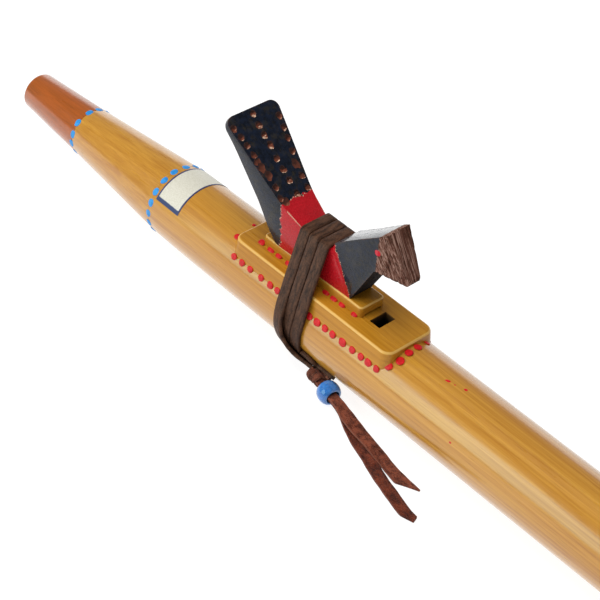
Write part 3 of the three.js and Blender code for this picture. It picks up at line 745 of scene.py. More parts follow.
plate_end = plate_start + plate_length
plate_shape = eased_block(
    (plate_start, -plate_half_width, nest_top - glue_overlap),
    (plate_end, plate_half_width, plate_top), plate_corner, plate_edge, plate_draft)
plate = new_piece("flue_plate_board", plate_shape, [amber_wood], "body")
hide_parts("flue_plate")
channel_tool = bmesh.new()
box_shape(channel_tool, (exit_slot_start, -air_hole_half_width, nest_top - 1),
          (plate_end + 3, air_hole_half_width, nest_top + channel_height))
cut(plate, cutter_of(channel_tool, burnt_wood))


# Paper label: a cream strip with a ruled border, wrapped over the top of the tube just below
# the shoulder and glued under the lacquer. Nothing is printed inside the border.
label_start = 97.3
label_width = 13.6
label_thickness = 0.12
label_half_angle = math.radians(59)

label_shape = bmesh.new()
label_end = label_start + label_width
label_corners = []
for x, lift in ((label_start, 0.02), (label_start, label_thickness),
                (label_end, label_thickness), (label_end, 0.02)):
    label_corners.append(label_shape.verts.new((x, 0, body_radius(x) + lift)))
strip_end = label_shape.faces.new(label_corners)
bmesh.ops.rotate(label_shape, verts=label_shape.verts,
                 matrix=Matrix.Rotation(-label_half_angle, 3, "X"))
bmesh.ops.spin(label_shape, geom=[strip_end, *strip_end.edges, *strip_end.verts],
               cent=(0, 0, 0), axis=(1, 0, 0), angle=2 * label_half_angle, steps=60)
bmesh.ops.recalc_face_normals(label_shape, faces=label_shape.faces)
label_paper, tree, shader = finish_of("label_paper", {"Roughness": 0.6, "Coat Weight": 0.4,
                                                      "Coat Roughness": 0.2})
place = millimetres(tree)
parts = node(tree, "SeparateXYZ", {"Vector": place})
angle = sum_of(tree, "ARCTAN2", parts["Y"], parts["Z"])
round_by = sum_of(tree, "MULTIPLY", angle, tube_radius)
from_side = sum_of(tree, "SUBTRACT", label_width / 2, sum_of(
    tree, "ABSOLUTE", sum_of(tree, "SUBTRACT", parts["X"], (label_start + label_end) / 2)))
from_end = sum_of(tree, "SUBTRACT", label_half_angle * tube_radius,
                  sum_of(tree, "ABSOLUTE", round_by))
inside = sum_of(tree, "MINIMUM", from_side, sum_of(tree, "MULTIPLY", from_end, 0.4))
waver = grain(tree, place, (0.9, 0.9, 0.9), detail=2)
inside = sum_of(tree, "MULTIPLY_ADD", waver, 0.12, inside)
ink = ramp(tree, inside, [(0.7, 1.0), (0.84, 0.0)])
fibre = grain(tree, place, (1.4, 2.2, 2.2), detail=5, roughness=0.6)
paper = ramp(tree, fibre, [(0.3, "c6c2b0"), (0.7, "dad7ca")])
tree.links.new(mixed(tree, ink, paper, "2b3560"), shader.inputs["Base Color"])
raised(tree, shader, fibre, 0.00003)
label = new_piece("label_strip", label_shape, [label_paper], "body")
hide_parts("paper_label")


# Painted dots: thick enamel touched on by hand with a stick. Blue rings mark the two joints
# of the head, red rows follow the edges of the nest and the plate.
hand = random.Random(7)


def enamel(name, dark, light):
    """Thick glossy paint."""
    made, tree, shader = finish_of(name, {"Coat Weight": 0.1, "Specular IOR Level": 0.35})
    place = millimetres(tree)
    flow = grain(tree, place, (0.8, 0.8, 0.8), detail=3)
    led_by(tree, shader, "Base Color", flow, [(0.3, dark), (0.7, light)])
    led_by(tree, shader, "Roughness", flow, [(0.3, 0.4), (0.7, 0.6)])
    raised(tree, shader, flow, 0.00008)
    return made


def dot(bm, place, up, along, size, stretch=1.0, height=0.3):
    """One domed dot of paint, a little out of round."""
    made = bmesh.ops.create_uvsphere(bm, u_segments=14, v_segments=8, radius=1)["verts"]
    aside = up.cross(along).normalized()
    along = aside.cross(up).normalized()
    turn = Matrix((along, aside, up)).transposed()
    phase = hand.uniform(0, 50)
    for vert in made:
        wobble = 1 + 0.16 * noise.noise(vert.co * 1.3 + Vector((phase, 0, 0)))
        flat = Vector((vert.co.x * size * stretch * wobble, vert.co.y * size * wobble,
                       vert.co.z * height))
        vert.co = place + turn @ flat


def round_place(x, radius, degrees):
    """A place on the tube and the direction straight out from it."""
    turn = math.radians(degrees)
    up = Vector((0, math.cos(turn), math.sin(turn)))
    return Vector((x, 0, 0)) + up * radius, up


blue_dots = bmesh.new()
blue_dot_size = 1.42
blue_rings = [(37.6, mouthpiece_radius, [70, 98, 133, 162, 186]),
              (95.2, shoulder_radius, [78, 100, 120, 141, 159, 178, 197])]
for x, radius, angles in blue_rings:
    spacing = (angles[-1] - angles[0]) / (len(angles) - 1)
    rest = 360 - (angles[-1] - angles[0])
    more = round(rest / spacing) - 1
    angles = angles + [angles[-1] + rest * (k + 1) / (more + 1) + hand.uniform(-2, 2)
                       for k in range(more)]
    for angle in angles:
        place, up = round_place(x + hand.uniform(-0.25, 0.25), radius, angle)
        around = Vector((1, 0, 0)).cross(up)
        dot(blue_dots, place - up * 0.03, up, around, blue_dot_size, 1.25)
blue = new_piece("dots_blue", blue_dots, [enamel("blue_enamel", "2480c8", "3c9be0")], "body",
                 smooth=80)

red_dots = bmesh.new()
base_row = [144.5, 149.1, 153.9, 160.2, 165.4, 169.5, 187.4, 191.7, 196, 200.1, 205.4, 210.6,
            215.2, 219, 223.3]
base_angle = 143.5
plate_row = [152.1, 157.5, 162.1, 167.4, 188.3, 192.6, 196.9, 203.5]
end_dots = [(226.6, -10.5, 1.6), (228.8, -7.1, 1.65), (228.6, -2.7, 1.6), (228.5, 1.9, 1.6),
            (227.3, 7.9, 1.5), (139.9, -7.9, 1.25), (140.3, 0.2, 0.8), (140.2, 8.8, 0.75)]
front_lift = Vector((0.25, -0.27, 0.33))
spatters = [(247.7, 97.5, 0.55, 2.2), (250.7, 96, 0.3, 1.5), (254.9, 91.5, 0.62, 1.4),
            (263.3, 160, 0.42, 1.5)]
for far in (False, True):
    for x in base_row:
        if far:
            x += hand.uniform(-1.2, 1.2)
        turn = 180 - base_angle if far else base_angle
        place, up = round_place(x, tube_radius, turn)
        outward = Vector((0, 0.93 if far else -0.93, 0.37))
        dot(red_dots, place + outward * 0.3, outward, Vector((1, 0, 0)),
            hand.uniform(1.4, 1.75), 1.05, 0.35)
    for x in plate_row:
        side = 1 if far else -1
        if far:
            x += hand.uniform(-1.0, 1.0)
        dot(red_dots, Vector((x, side * (plate_half_width + 0.3), nest_top + 0.3)),
            Vector((0, side * 0.75, 1)).normalized(), Vector((1, 0, 0)),
            hand.uniform(1.3, 1.6), 1.1, 0.45)
for x, y, size in end_dots:
    place, up = round_place(x, tube_radius, math.degrees(math.acos(y / tube_radius)))
    lift = front_lift if x > nest_start else up * 0.02
    dot(red_dots, place + lift, up, Vector((1, 0, 0)), size, 1.05)
for x, angle, size, stretch in spatters:
    place, up = round_place(x, tube_radius, angle)
    dot(red_dots, place - up * 0.05, up, Vector((1, 0.3, 0)), size, stretch, 0.12)
red_enamel = enamel("red_enamel", "b40c12", "d41a20")
red = new_piece("dots_red", red_dots, [red_enamel], "body", smooth=80)


# Bird: sawn from a block, knife-carved and painted. The tail fans out behind, the saddle
# takes the lace, and the head ends in a bare wood beak with knife grooves. Small pits are
# gouged through the paint of the tail.
bird_start = 159.2
bird_base = 41.6
bird_end = bird_start + bird_base
waist_half_width = 6.2
saddle_low = 15.8
saddle_from = 172
saddle_to = 188.3
bird_middle = 180
neck_end = bird_end + 9.35
beak_from = 210.3
beak_low = plate_top + 19
tail_tip_reach = 48
tail_corner = 4.1
tail_rim_to = 166
groove_depth = 0.5
groove_width = 0.14

bird_outline = [
    (bird_start, 0, 0.8), (bird_end - 1.3, 0, 0.4), (209.9, 20.3, 0.6), (223.8, 20.6, 0.9),
    (223.8, 22.6, 0.95), (213.6, 38.6, 0.5), (189.5, 19.9, 0.8), (saddle_to, saddle_low, 0.5),
    (saddle_from, saddle_low, 0.3), (162, 20.5, 3.2), (132.2, 43.2, 0), (131.05, 41.7, 0),
    (137.4, 34.3, 2), (150.2, 15.5, 2.5), (155.5, 5.3, 2),
]
plan_widths = [(120, waist_half_width), (bird_middle, waist_half_width), (bird_end, 5.4),
               (neck_end, 6.1), (224.4, 2.8), (230, 2.8)]
fan_start = Vector((172, plate_top + 15.8))
fan_run = Vector((-29.8, 22.7)).normalized()
fan_widening = 0.137
tail_lean = 0.024


def fan_reach(x, z):
    """How far out along the fan of the tail a place lies; below zero it is ahead of the fan."""
    return (Vector((x, z)) - fan_start).dot(fan_run)


def bird_half_width(x, z):
    """Half the width at a place on the side outline: the plan, or the fan of the tail."""
    for (xa, wa), (xb, wb) in zip(plan_widths, plan_widths[1:]):
        if xa <= x <= xb:
            plan = wa + (wb - wa) * (x - xa) / (xb - xa)
            break
    reach = fan_reach(x, z)
    if x > bird_middle or reach < 0:
        return plan
    return waist_half_width + fan_widening * reach


bird_shape = bmesh.new()
outline = [bird_shape.verts.new((x, 0, plate_top + h)) for x, h in eased(bird_outline)]
bird_shape.faces.new(outline)
for x in (bird_middle, bird_end, neck_end):
    bmesh.ops.bisect_plane(bird_shape, geom=all_of(bird_shape), plane_co=(x, 0, 0),
                           plane_no=(1, 0, 0))
rear = [f for f in bird_shape.faces if f.calc_center_median().x < bird_middle]
bmesh.ops.bisect_plane(bird_shape, geom=all_of(bird_shape, rear),
                       plane_co=(fan_start.x, 0, fan_start.y), plane_no=(fan_run.x, 0, fan_run.y))
thick = bmesh.ops.extrude_face_region(bird_shape, geom=bird_shape.faces[:])["geom"]
far_side = [v for v in thick if isinstance(v, bmesh.types.BMVert)]
for vert in bird_shape.verts:
    vert.co.y = -bird_half_width(vert.co.x, vert.co.z)
for vert in far_side:
    vert.co.y *= -1
bmesh.ops.recalc_face_normals(bird_shape, faces=bird_shape.faces)
tip_edges = [e for e in bird_shape.edges
             if all(fan_reach(v.co.x, v.co.z) > tail_tip_reach for v in e.verts)
             and abs(e.verts[0].co.y - e.verts[1].co.y) < 1]
bmesh.ops.bevel(bird_shape, geom=tip_edges, offset=tail_corner, offset_type="OFFSET", segments=9,
                profile=0.5, affect="EDGES", material=-1)
for in_tail, ease, steps in ((True, 0.55, 3), (False, 0.35, 2)):
    rim = [e for e in bird_shape.edges if e.calc_face_angle(0) > math.radians(28)
           and all(v.co.x < tail_rim_to for v in e.verts) == in_tail]
    bmesh.ops.bevel(bird_shape, geom=rim, offset=ease, offset_type="OFFSET", segments=steps,
                    profile=0.5, affect="EDGES", material=-1, clamp_overlap=True)
for vert in bird_shape.verts:
    if vert.co.x < bird_middle:
        vert.co.y += tail_lean * max(0, fan_reach(vert.co.x, vert.co.z))

beak_run = Vector((10.3, 0, -16)).normalized()
beak_across = Vector((16, 0, 10.3)).normalized()
beak_top = Vector((213.6, 0, plate_top + 38.5))


def slice_beak(place, direction):
    """Divides the faces of the beak along a plane, so that the grooves have room to form."""
    beak = [f for f in bird_shape.faces if f.calc_center_median().x > beak_from
            and f.calc_center_median().z > plate_top + 12]
    bmesh.ops.bisect_plane(bird_shape, geom=all_of(bird_shape, beak), plane_co=place,
                           plane_no=direction)


bmesh.ops.bisect_plane(bird_shape, geom=all_of(bird_shape), plane_co=(beak_from, 0, 0),
                       plane_no=(1, 0, 0))
for k in range(-16, 17):
    slice_beak((0, k * 0.36, 0), (0, 1, 0))
for k in range(1, 15):
    slice_beak(beak_top + beak_run * k * 1.3, beak_run)
for k in range(1, 26):
    slice_beak(beak_top - beak_across * k * 0.42, beak_across)
bird_shape.normal_update()
for vert in bird_shape.verts:
    if vert.co.x < beak_from + 0.02 or vert.co.z < beak_low:
        continue
    off_top = vert.co - beak_top
    spot = Vector((vert.co.y * 1.3, off_top.dot(beak_across) * 1.3,
                   off_top.dot(beak_run) * 0.035))
    knife = noise.noise(spot + Vector((3.1, 0, 0)))
    fade = min(1, (vert.co.x - beak_from) / 1.5)
    vert.co -= vert.normal * fade * groove_depth * max(0, 1 - abs(knife) / groove_width)
# Faces that look down under the head take the second slot, the dull throat paint that is painted
# shade.
for face in bird_shape.faces:
    if face.normal.z < -0.2 and face.calc_center_median().x > bird_end - 1.4:
        face.material_index = 1

red_from = 161.8
red_to = 189
red_to_height = 41.7
front_slope = 0.56
bare_from = 210.2
saddle_bend = 168.6
eye_place = (210.2, 5.8, 51.4)

bird_paint, tree, shader = finish_of("bird_paint", {
    "Coat Roughness": 0.08, "Coat Weight": 0.5, "Specular IOR Level": 0.15})
place = millimetres(tree)
parts = node(tree, "SeparateXYZ", {"Vector": place})
brush = grain(tree, place, (0.5, 0.5, 0.5), detail=4, roughness=0.6)
fine = grain(tree, place, (1.6, 1.6, 1.6), detail=5, roughness=0.65)
wander = sum_of(tree, "MULTIPLY", sum_of(tree, "SUBTRACT", brush, 0.5), 3.6)
back_edge = sum_of(tree, "ADD", sum_of(tree, "SUBTRACT", parts["X"], red_from), wander)
front_line = sum_of(tree, "MULTIPLY_ADD", parts["Z"], -front_slope,
                    red_to + front_slope * red_to_height)
front_edge = sum_of(tree, "ADD", sum_of(tree, "SUBTRACT", front_line, parts["X"]), wander)
red_share = ramp(tree, sum_of(tree, "MINIMUM", back_edge, front_edge), [(0.0, 0.0), (0.25, 1.0)])
black = ramp(tree, brush, [(0.3, "050912"), (0.7, "131d30")])
patches = grain(tree, place, (0.22, 0.3, 0.3), detail=5, roughness=0.7)
black = mixed(tree, ramp(tree, patches, [(0.5, 0.0), (0.68, 0.55)]), black, "37301f")
scarlet = ramp(tree, fine, [(0.3, "a20a14"), (0.7, "c01a26")])
paint = mixed(tree, red_share, black, scarlet)
bare_edge = sum_of(tree, "ADD", sum_of(tree, "SUBTRACT", parts["X"], bare_from),
                   sum_of(tree, "MULTIPLY", wander, 0.4))
low_beak = sum_of(tree, "ADD", sum_of(tree, "SUBTRACT", parts["Z"], beak_low + 1), wander)
bare = sum_of(tree, "MULTIPLY", ramp(tree, bare_edge, [(0.0, 0.0), (0.3, 1.0)]),
              ramp(tree, low_beak, [(0.0, 0.0), (0.3, 1.0)]))
beak_place = node(tree, "Mapping", {"Vector": place, "Rotation": (0, math.radians(-57), 0)})[0]
beak_grain = grain(tree, beak_place, (0.05, 1.9, 1.9), detail=5, roughness=0.7)
beak_wood = ramp(tree, beak_grain, [(0.36, "26110b"), (0.47, "5f392c"), (0.62, "a58476")])
colour = mixed(tree, bare, paint, beak_wood)
soft_normal = node(tree, "Bevel", {"Radius": 0.0012}, samples=8)[0]
true_normal = node(tree, "NewGeometry")["Normal"]
corner = node(tree, "VectorMath", {0: soft_normal, 1: true_normal},
              operation="DOT_PRODUCT")["Value"]
rubbed = sum_of(tree, "MULTIPLY", ramp(tree, corner, [(0.93, 1.0), (0.995, 0.0)]),
                ramp(tree, brush, [(0.46, 0.0), (0.58, 0.75)]))
rubbed = sum_of(tree, "MULTIPLY", rubbed, sum_of(tree, "SUBTRACT", 1.0, red_share))
colour = mixed(tree, rubbed, colour, "4a3024")
from_join = sum_of(tree, "MINIMUM", sum_of(tree, "ABSOLUTE", back_edge),
                   sum_of(tree, "ABSOLUTE", front_edge))
joins = sum_of(tree, "MULTIPLY", ramp(tree, from_join, [(0.25, 1.0), (0.55, 0.0)]),
               ramp(tree, fine, [(0.55, 0.0), (0.6, 1.0)]))
saddle_edge = sum_of(tree, "MULTIPLY", ramp(tree, corner, [(0.86, 1.0), (0.95, 0.0)]),
                     ramp(tree, fine, [(0.40, 0.0), (0.46, 1.0)]))
from_bend = sum_of(tree, "ABSOLUTE", sum_of(tree, "SUBTRACT", parts["X"], saddle_bend))
saddle_edge = sum_of(tree, "MULTIPLY", saddle_edge, ramp(
    tree, sum_of(tree, "MULTIPLY", from_bend, 0.1), [(0.36, 1.0), (0.40, 0.0)]))
colour = mixed(tree, sum_of(tree, "MAXIMUM", joins, saddle_edge), colour, "d9b69a")
for side in (-1, 1):
    eye = Vector((eye_place[0], side * eye_place[1], eye_place[2]))
    from_eye = node(tree, "VectorMath", {0: place, 1: eye}, operation="DISTANCE")["Value"]
    from_eye = sum_of(tree, "MULTIPLY_ADD", brush, 1.2, from_eye)
    spot = ramp(tree, sum_of(tree, "MULTIPLY", from_eye, 0.1), [(0.17, 1.0), (0.19, 0.0)])
    colour = mixed(tree, spot, colour, "c42032")
tree.links.new(colour, shader.inputs["Base Color"])
upward = node(tree, "SeparateXYZ", {"Vector": true_normal})["Z"]
crest = sum_of(tree, "MULTIPLY", sum_of(tree, "GREATER_THAN", parts["X"], red_to),
               ramp(tree, upward, [(0.5, 0.0), (0.7, 1.0)]))
worn = grain(tree, place, (0.25, 0.7, 0.7), detail=4, roughness=0.6)
crest = sum_of(tree, "MULTIPLY", crest, ramp(tree, worn, [(0.36, 0.0), (0.44, 1.0)]))
coat = sum_of(tree, "MULTIPLY", sum_of(tree, "SUBTRACT", 1.0, bare),
              sum_of(tree, "MULTIPLY_ADD", crest, 0.7, 0.3))
tree.links.new(coat, shader.inputs["Coat Weight"])
tree.links.new(sum_of(tree, "MULTIPLY_ADD", bare, 0.5, sum_of(
    tree, "MULTIPLY_ADD", brush, 0.3, 0.14)), shader.inputs["Roughness"])
low = raised(tree, shader, brush, 0.00018)
raised(tree, shader, fine, 0.00007, low)

gouged_wood, tree, shader = finish_of("gouged_wood", {"Roughness": 0.6})
gouge = grain(tree, millimetres(tree), (1.3, 1.3, 1.3), detail=4)
# The bare wood in the pits is painted lit and shaded: lighter, up to a cream highlight, on walls
# that face up and back, darker on the others, and darker still in the rows off the middle.
painted_light = node(tree, "VectorMath", {
    0: node(tree, "NewGeometry")["Normal"], 1: (-0.5, -0.15, 0.85)},
    operation="DOT_PRODUCT")["Value"]
painted_light = sum_of(tree, "MULTIPLY_ADD", gouge, 0.25, painted_light)
off_middle = sum_of(tree, "ABSOLUTE", node(tree, "SeparateXYZ", {
    "Vector": millimetres(tree)})["Y"])
painted_light = sum_of(tree, "MULTIPLY_ADD", sum_of(tree, "GREATER_THAN", off_middle, 3.5), -0.17, painted_light)
led_by(tree, shader, "Base Color", painted_light, [(0.2, "34160e"), (0.76, "7c412d"), (0.97, "e2c0a4")])
raised(tree, shader, gouge, 0.0001)

# Throat: a dull dark copy of the bird's paint with almost no reflection, painted shade under the
# head.
throat_shade_paint, tree, shader = finish_of("throat_shade_paint", {
    "Roughness": 0.85, "Specular IOR Level": 0.05})
throat_mottle = grain(tree, millimetres(tree), (0.5, 0.5, 1.1), detail=5, roughness=0.65)
led_by(tree, shader, "Base Color", throat_mottle, [(0.42, "0b0d12"), (0.66, "31261d")])
raised(tree, shader, throat_mottle, 0.00015)

bird = new_piece("bird_carved", bird_shape, [bird_paint, throat_shade_paint], "bird_and_lace",
                 smooth=28)
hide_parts("bird")

pit_tool = bmesh.new()
middle_pits = [(134.1, 1.1), (137.9, 1.0), (141.2, 0.9), (144.7, 1.2), (149.1, 0.7), (152.8, 1.0),
               (156.5, 0.9), (161.0, 1.1)]
near_pits = [(135.8, -9.6), (139.1, -8.6), (142.0, -8.1), (145.3, -7.5), (156.6, -5.9),
             (160.3, -6.3)]
far_pits = [(137.7, 11.1), (141.5, 10.3), (144.8, 9.7), (149.0, 8.6), (156.8, 6.9), (160.6, 6.5)]
long_scrapes = [(149.6, -7.2, 2.6), (152.6, -6.1, 2.3), (147.6, -7.6, 1.8), (152.9, 7.1, 2.4),
                (161.6, -5.2, 1.8)]
face_lean = math.atan2(22.75, 29.9)
face_top_x = 132.3
face_top_z = plate_top + 43.15


def gouge_at(tool, x, y, size):
    """One cut of the gouge into the tail's front face, a little out of round."""
    made = bmesh.ops.create_icosphere(tool, subdivisions=3, radius=1)["verts"]
    phase = hand.uniform(0, 40)
    for vert in made:
        vert.co *= 1 + 0.3 * noise.noise(vert.co * 1.7 + Vector((phase, 0, 0)))
    bmesh.ops.scale(tool, verts=made, vec=size)
    bmesh.ops.rotate(tool, verts=made, matrix=Matrix.Rotation(face_lean, 3, "Y"))
    z = face_top_z - (x - face_top_x) * math.tan(face_lean)
    bmesh.ops.translate(tool, verts=made, vec=(x + 0.12, y, z + 0.16))


for row, deep in ((middle_pits, 1.15), (near_pits, 0.8), (far_pits, 0.85)):
    for x, y in row:
        gouge_at(pit_tool, x, y, (hand.uniform(1.4, 1.65), hand.uniform(1.25, 1.45), deep))
knives = [cutter_of(pit_tool, gouged_wood)]
for x, y, reach in long_scrapes:
    scrape_tool = bmesh.new()
    gouge_at(scrape_tool, x, y, (reach, 1.8, 0.5))
    knives.append(cutter_of(scrape_tool, gouged_wood))
cut(bird, *knives, smooth=28)


# Lace: a flat leather lace wound three times round tube, nest and saddle. The first end
# leaves the knot and runs below the first turn, the last end rides up over the others.
lace_width = 4.8
lace_thickness = 1.45
lace_pitch = 5.05
lace_turns = 3
winding_centre = 180
tube_arc_steps = 44
bar_arc_steps = 8
joining_steps = 34
first_end_angle = 236
lace_waver = 0.035
last_end_widening = 0.16
first_end_narrowing = 0.5
lace_edge_ease = 0.3
lace_inset = 0.15 + lace_thickness / 2
belt_bars = [
    (0, 0, tube_radius + lace_inset), (11.21, 17.11, lace_inset + 1.02),
    (waist_half_width - 0.6, 37.75, lace_inset + 0.5),
    (0.6 - waist_half_width, 37.75, lace_inset + 0.5),
    (-11.21, 17.11, lace_inset + 1.02),
]


def leaving(bar, following):
    """Direction in which the lace leaves one bar for the next."""
    y0, z0, r0 = bar
    y1, z1, r1 = following
    return math.atan2(z1 - z0, y1 - y0) - math.acos((r0 - r1) / math.hypot(y1 - y0, z1 - z0))


tube_leaving = leaving(belt_bars[0], belt_bars[1]) + 2 * math.pi
tube_arrival = leaving(belt_bars[4], belt_bars[0]) + 2 * math.pi


def turn_x(turn):
    """Where a turn crosses the saddle."""
    return winding_centre + lace_pitch * ((lace_turns - 1) / 2 - turn)


def outward_at(angle):
    """Straight out from a bar, the angle taken from +Y towards +Z."""
    return Vector((0, math.cos(angle), math.sin(angle)))


def over_turn(x):
    """One turn's way over nest and saddle, as (place, direction out of the lace's face)."""
    way = []
    arriving = leaving(belt_bars[0], belt_bars[1])
    for i in range(1, 5):
        y, z, radius = belt_bars[i]
        going = leaving(belt_bars[i], belt_bars[(i + 1) % 5])
        while going < arriving:
            going += 2 * math.pi
        for step in range(bar_arc_steps + 1):
            out = outward_at(arriving + (going - arriving) * step / bar_arc_steps)
            way.append((Vector((x, y, z)) + out * radius, out))
        arriving = going
    return way


def under_x(turn, share):
    """Where the lace lies after a share of its way below the tube."""
    return turn_x(turn) - lace_pitch * share * share * (3 - 2 * share)


def under_turn(turn):
    """Below the tube each turn moves back by one pitch."""
    way = []
    for step in range(1, tube_arc_steps):
        share = step / tube_arc_steps
        out = outward_at(tube_arrival + (tube_leaving - tube_arrival) * share)
        way.append((Vector((under_x(turn, share), 0, 0)) + out * (tube_radius + lace_inset), out))
    return way


first_end_route = [
    (203, 0.4, 217.5, 0), (198.6, 0.5, 219.5, 0), (194.6, 0.8, 219, 0), (192.4, 0.95, 212, 0),
    (190.1, 0.9, 208.5, 0), (188.8, 0.9, 210, 0), (188.6, 0.9, 219, 0),
    (189.0, 0.9, first_end_angle, 0),
]
last_end_route = [
    (174.95, 2.95, 140, 3), (175.3, 2.1, 153, 10), (176.3, 2.5, 166, 20), (177.2, 2.8, 177, 25),
    (178.5, 2.9, 187, 24), (180.5, 2.8, 196, 25), (183.2, 2.7, 205, 26), (186.4, 2.6, 212, 26),
    (189.6, 2.5, 216, 22), (192.6, 2.5, 218, 16), (194.4, 2.5, 219, 10),
]


def loose_way(route, steps):
    """A way over the tube from (x, height, angle, lean) places, angles in degrees."""
    numbers = [Vector((x, lift, angle / 10)) for x, lift, angle, lean in route]
    leans = [Vector((x, lean, angle / 10)) for x, lift, angle, lean in route]
    way = []
    for number, lean in zip(curved(numbers, steps), curved(leans, steps)):
        radial = outward_at(math.radians(number.z * 10))
        tip = math.radians(lean.y)
        way.append((Vector((number.x, 0, 0)) + radial * (tube_radius + number.y),
                    radial * math.cos(tip) - Vector((math.sin(tip), 0, 0))))
    return way


first_way = loose_way(first_end_route, 44)
start_share = (math.radians(first_end_angle) - tube_arrival) / (tube_leaving - tube_arrival)
joined = []
for step in range(1, joining_steps):
    share = start_share + (1 - start_share) * step / joining_steps
    out = outward_at(tube_arrival + (tube_leaving - tube_arrival) * share)
    joined.append((Vector((under_x(0, share) + lace_pitch, 0, 0))
                   + out * (tube_radius + lace_inset), out))
way = (first_way + joined + over_turn(turn_x(0)) + under_turn(0) + over_turn(turn_x(1))
       + under_turn(1) + over_turn(turn_x(2)) + loose_way(last_end_route, 70))
lace_places = [w[0] for w in way]
lace_shares = [1 + lace_waver * noise.noise(Vector((k * 0.11, 2, 0)))
               + last_end_widening * min(1, max(0, 1.4 - (len(way) - k) / 50))
               - first_end_narrowing * max(0, 1 - k / 12) for k in range(len(way))]
lace_shape = bmesh.new()
sweep(lace_shape, squared(lace_places, [w[1] for w in way], lace_shares),
      strip_section(lace_width, lace_thickness, lace_edge_ease))


def smooth_leather(name, dark, light, edge, gloss):
    """Worn smooth leather: dull brown face with faint creases and redder cut edges."""
    made, tree, shader = finish_of(name, {"Specular IOR Level": 0.2})
    place = millimetres(tree)
    pebbles = grain(tree, place, (1.7, 1.7, 1.7), detail=5, roughness=0.62)
    along = node(tree, "Attribute", attribute_name="along")["Fac"]
    across = node(tree, "Attribute", attribute_name="across")["Fac"]
    strip = node(tree, "CombineXYZ", {"X": along, "Y": across})[0]
    rubbed = grain(tree, strip, (0.22, 2.2, 1), detail=4, roughness=0.6)
    both = sum_of(tree, "MULTIPLY_ADD", rubbed, 0.6, sum_of(tree, "MULTIPLY", pebbles, 0.4))
    face = ramp(tree, both, [(0.40, dark), (0.64, light)])
    side = sum_of(tree, "MULTIPLY_ADD", pebbles, 0.08, sum_of(tree, "ABSOLUTE", across))
    cut_edge = ramp(tree, side, [(1.0, 0.0), (1.04, 0.8)])
    tree.links.new(mixed(tree, cut_edge, face, edge), shader.inputs["Base Color"])
    led_by(tree, shader, "Roughness", both, [(0.3, gloss), (0.7, gloss + 0.2)])
    low = raised(tree, shader, rubbed, 0.00025)
    raised(tree, shader, pebbles, 0.00012, low)
    return made


strap_leather = smooth_leather("strap_leather", "2c1c14", "604231", "78493e", 0.45)
lace = new_piece("lace_wound", lace_shape, [strap_leather], "bird_and_lace",
                 smooth=50)
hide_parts("lace_winding")


# Knot: both ends of the lace are tied round the tails in one tight overhand knot of the
# same suede, squeezed against the tube. A fold of the lace runs on beyond it, along the tube.
knot_place = Vector((197.2, -15.4, -12.6))
knot_outward = Vector((0, -0.79, -0.61))
knot_axis = Vector((0.97, -0.2, -0.1))
fold_route = [Vector((193.2, -13.1, -11.1)), Vector((197.5, -13.3, -11.3)),
              Vector((201.9, -13.6, -11.5))]
knot_unevenness = 0.45
knot_shape = bmesh.new()


def knot_loop(centre, axis, radii, start, end, width, thickness, drift, steps=40):
    """A band wrapped round an axis; drift moves it along the axis as it goes."""
    axis = Vector(axis).normalized()
    u = knot_outward.cross(axis).normalized()
    v = axis.cross(u)
    places, outs = [], []
    for k in range(steps + 1):
        t = math.radians(start + (end - start) * k / steps)
        spread = u * math.cos(t) * radii[0] + v * math.sin(t) * radii[1]
        places.append(centre + spread + axis * drift * (k / steps - 0.5))
        outs.append((u * math.cos(t) / radii[0] + v * math.sin(t) / radii[1]).normalized())
    shares = [1 + 0.12 * noise.noise(Vector((k * 0.3, centre.x, drift))) for k in range(steps + 1)]
    sweep(knot_shape, squared(places, outs, shares),
          strip_section(width, thickness, lace_edge_ease))


knot_loop(knot_place + Vector((-1.1, 0, 0)), knot_axis, (2.9, 2.1), -30, 330, 3.0, 1.3, 1.3)
knot_loop(knot_place + Vector((1.4, -0.2, -0.3)), knot_axis, (2.6, 1.9), 60, 420, 2.6, 1.2, -1.0)
knot_loop(knot_place + Vector((0.2, -0.1, -0.1)), Vector((0.55, -0.35, 0.75)), (3.1, 1.6),
          20, 250, 2.6, 1.1, 0.4)
core = bmesh.ops.create_icosphere(knot_shape, subdivisions=4, radius=1)["verts"]
for vert in core:
    lump = 1 + 0.12 * noise.noise(vert.co * 2.1)
    vert.co = Vector((vert.co.x * 3.0, vert.co.y * 1.9, vert.co.z * 2.7)) * lump + knot_place
for route in (upper_tail_route, lower_tail_route):
    start = Vector(route[0])
    stub = [start + Vector((-3.2, 0.5, 0.4)), start + Vector((0.4, -0.08, 0))]
    sweep(knot_shape, squared(stub, Vector((0, 0, 1))), strip_section(3.6, 1.2, lace_edge_ease))
sweep(knot_shape, squared(fold_route, knot_outward), strip_section(1.9, 1.5, lace_edge_ease))
knot_shape.normal_update()
for vert in knot_shape.verts:
    vert.co += vert.normal * knot_unevenness * noise.noise(vert.co * 0.75)
knot_suede = suede("knot_suede", "3f1d12", "8a4c36", "9c6650")
knot = new_piece("knot_tied", knot_shape, [knot_suede], "bird_and_lace", smooth=60)
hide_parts("lace_knot")


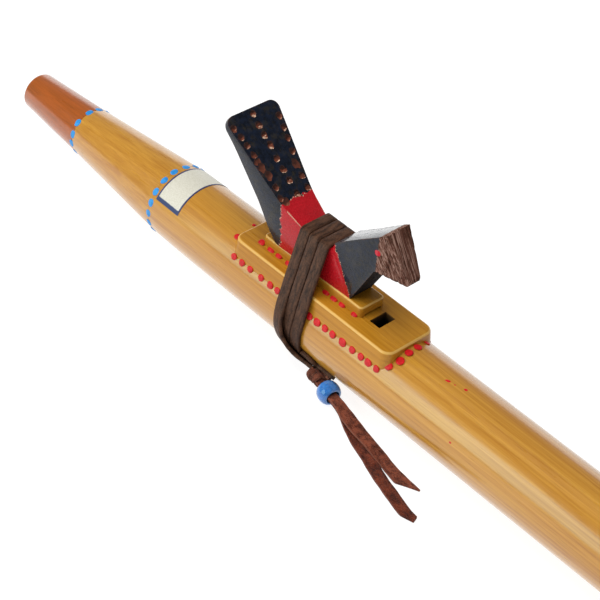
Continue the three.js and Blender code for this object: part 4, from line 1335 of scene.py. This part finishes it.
# Floor: a plain white table, larger than anything the camera sees, in a pale room. One soft
# lamp stands at the left, one hangs above, and a low wide one lights the far side. A fourth
# lights nothing and only shows as the gleam in the lacquer.
table_size = 6.0
table_drop = 0.0004
lamp_aim = Vector((-0.05, 0, 0.03))

floor_shape = bmesh.new()
bmesh.ops.create_grid(floor_shape, x_segments=1, y_segments=1, size=table_size / 2)
floor_mesh = bpy.data.meshes.new("table")
floor_shape.to_mesh(floor_mesh)
floor_shape.free()
floor_mesh.transform(Matrix.Translation((0, 0, -table_drop)))
floor = bpy.data.objects.new("table", floor_mesh)
bpy.context.scene.collection.objects.link(floor)
table_white, tree, shader = finish_of("table_white", {
    "Base Color": (0.25, 0.25, 0.25, 1), "Roughness": 0.9, "Specular IOR Level": 0.1,
    "Emission Color": (1, 1, 1, 1), "Emission Strength": 0.88})
floor_mesh.materials.append(table_white)
floor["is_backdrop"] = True

room = bpy.data.worlds.new("pale_room")
room.use_nodes = True
glow = room.node_tree.nodes["Background"]
glow.inputs["Color"].default_value = (1, 1, 1, 1)
glow.inputs["Strength"].default_value = 0.22
bpy.context.scene.world = room


def soft_lamp(name, place, size, power, mirrored=True, lights=True, tint=(1, 1, 1)):
    """A soft lamp turned towards the nest; its light or its mirror image may be left out."""
    data = bpy.data.lights.new(name, "AREA")
    data.shape = "RECTANGLE"
    data.size, data.size_y = size
    data.energy = power
    data.color = tint
    lamp = bpy.data.objects.new(name, data)
    lamp.location = Vector(place)
    towards = lamp_aim - lamp.location
    lamp.rotation_euler = towards.to_track_quat("-Z", "Y").to_euler()
    lamp.visible_glossy = mirrored
    lamp.visible_diffuse = lights
    bpy.context.scene.collection.objects.link(lamp)


soft_lamp("lamp_left", (-0.73, -0.88, 0.74), (0.95, 0.5), 8.4, mirrored=False)
soft_lamp("lamp_gleam", (-0.55, -1.1, 0.46), (0.8, 0.72), 5.0, lights=False, tint=(0.6, 1, 0.95))
soft_lamp("lamp_back", (-0.95, 1.3, 0.24), (2.2, 0.5), 4)
soft_lamp("lamp_top", (-0.12, -0.2, 1.15), (1.1, 0.6), 9.5, mirrored=False)

view = bpy.context.scene.view_settings
view.view_transform = "Standard"
view.look = "None"
view.exposure = 0
view.gamma = 1

low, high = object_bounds()
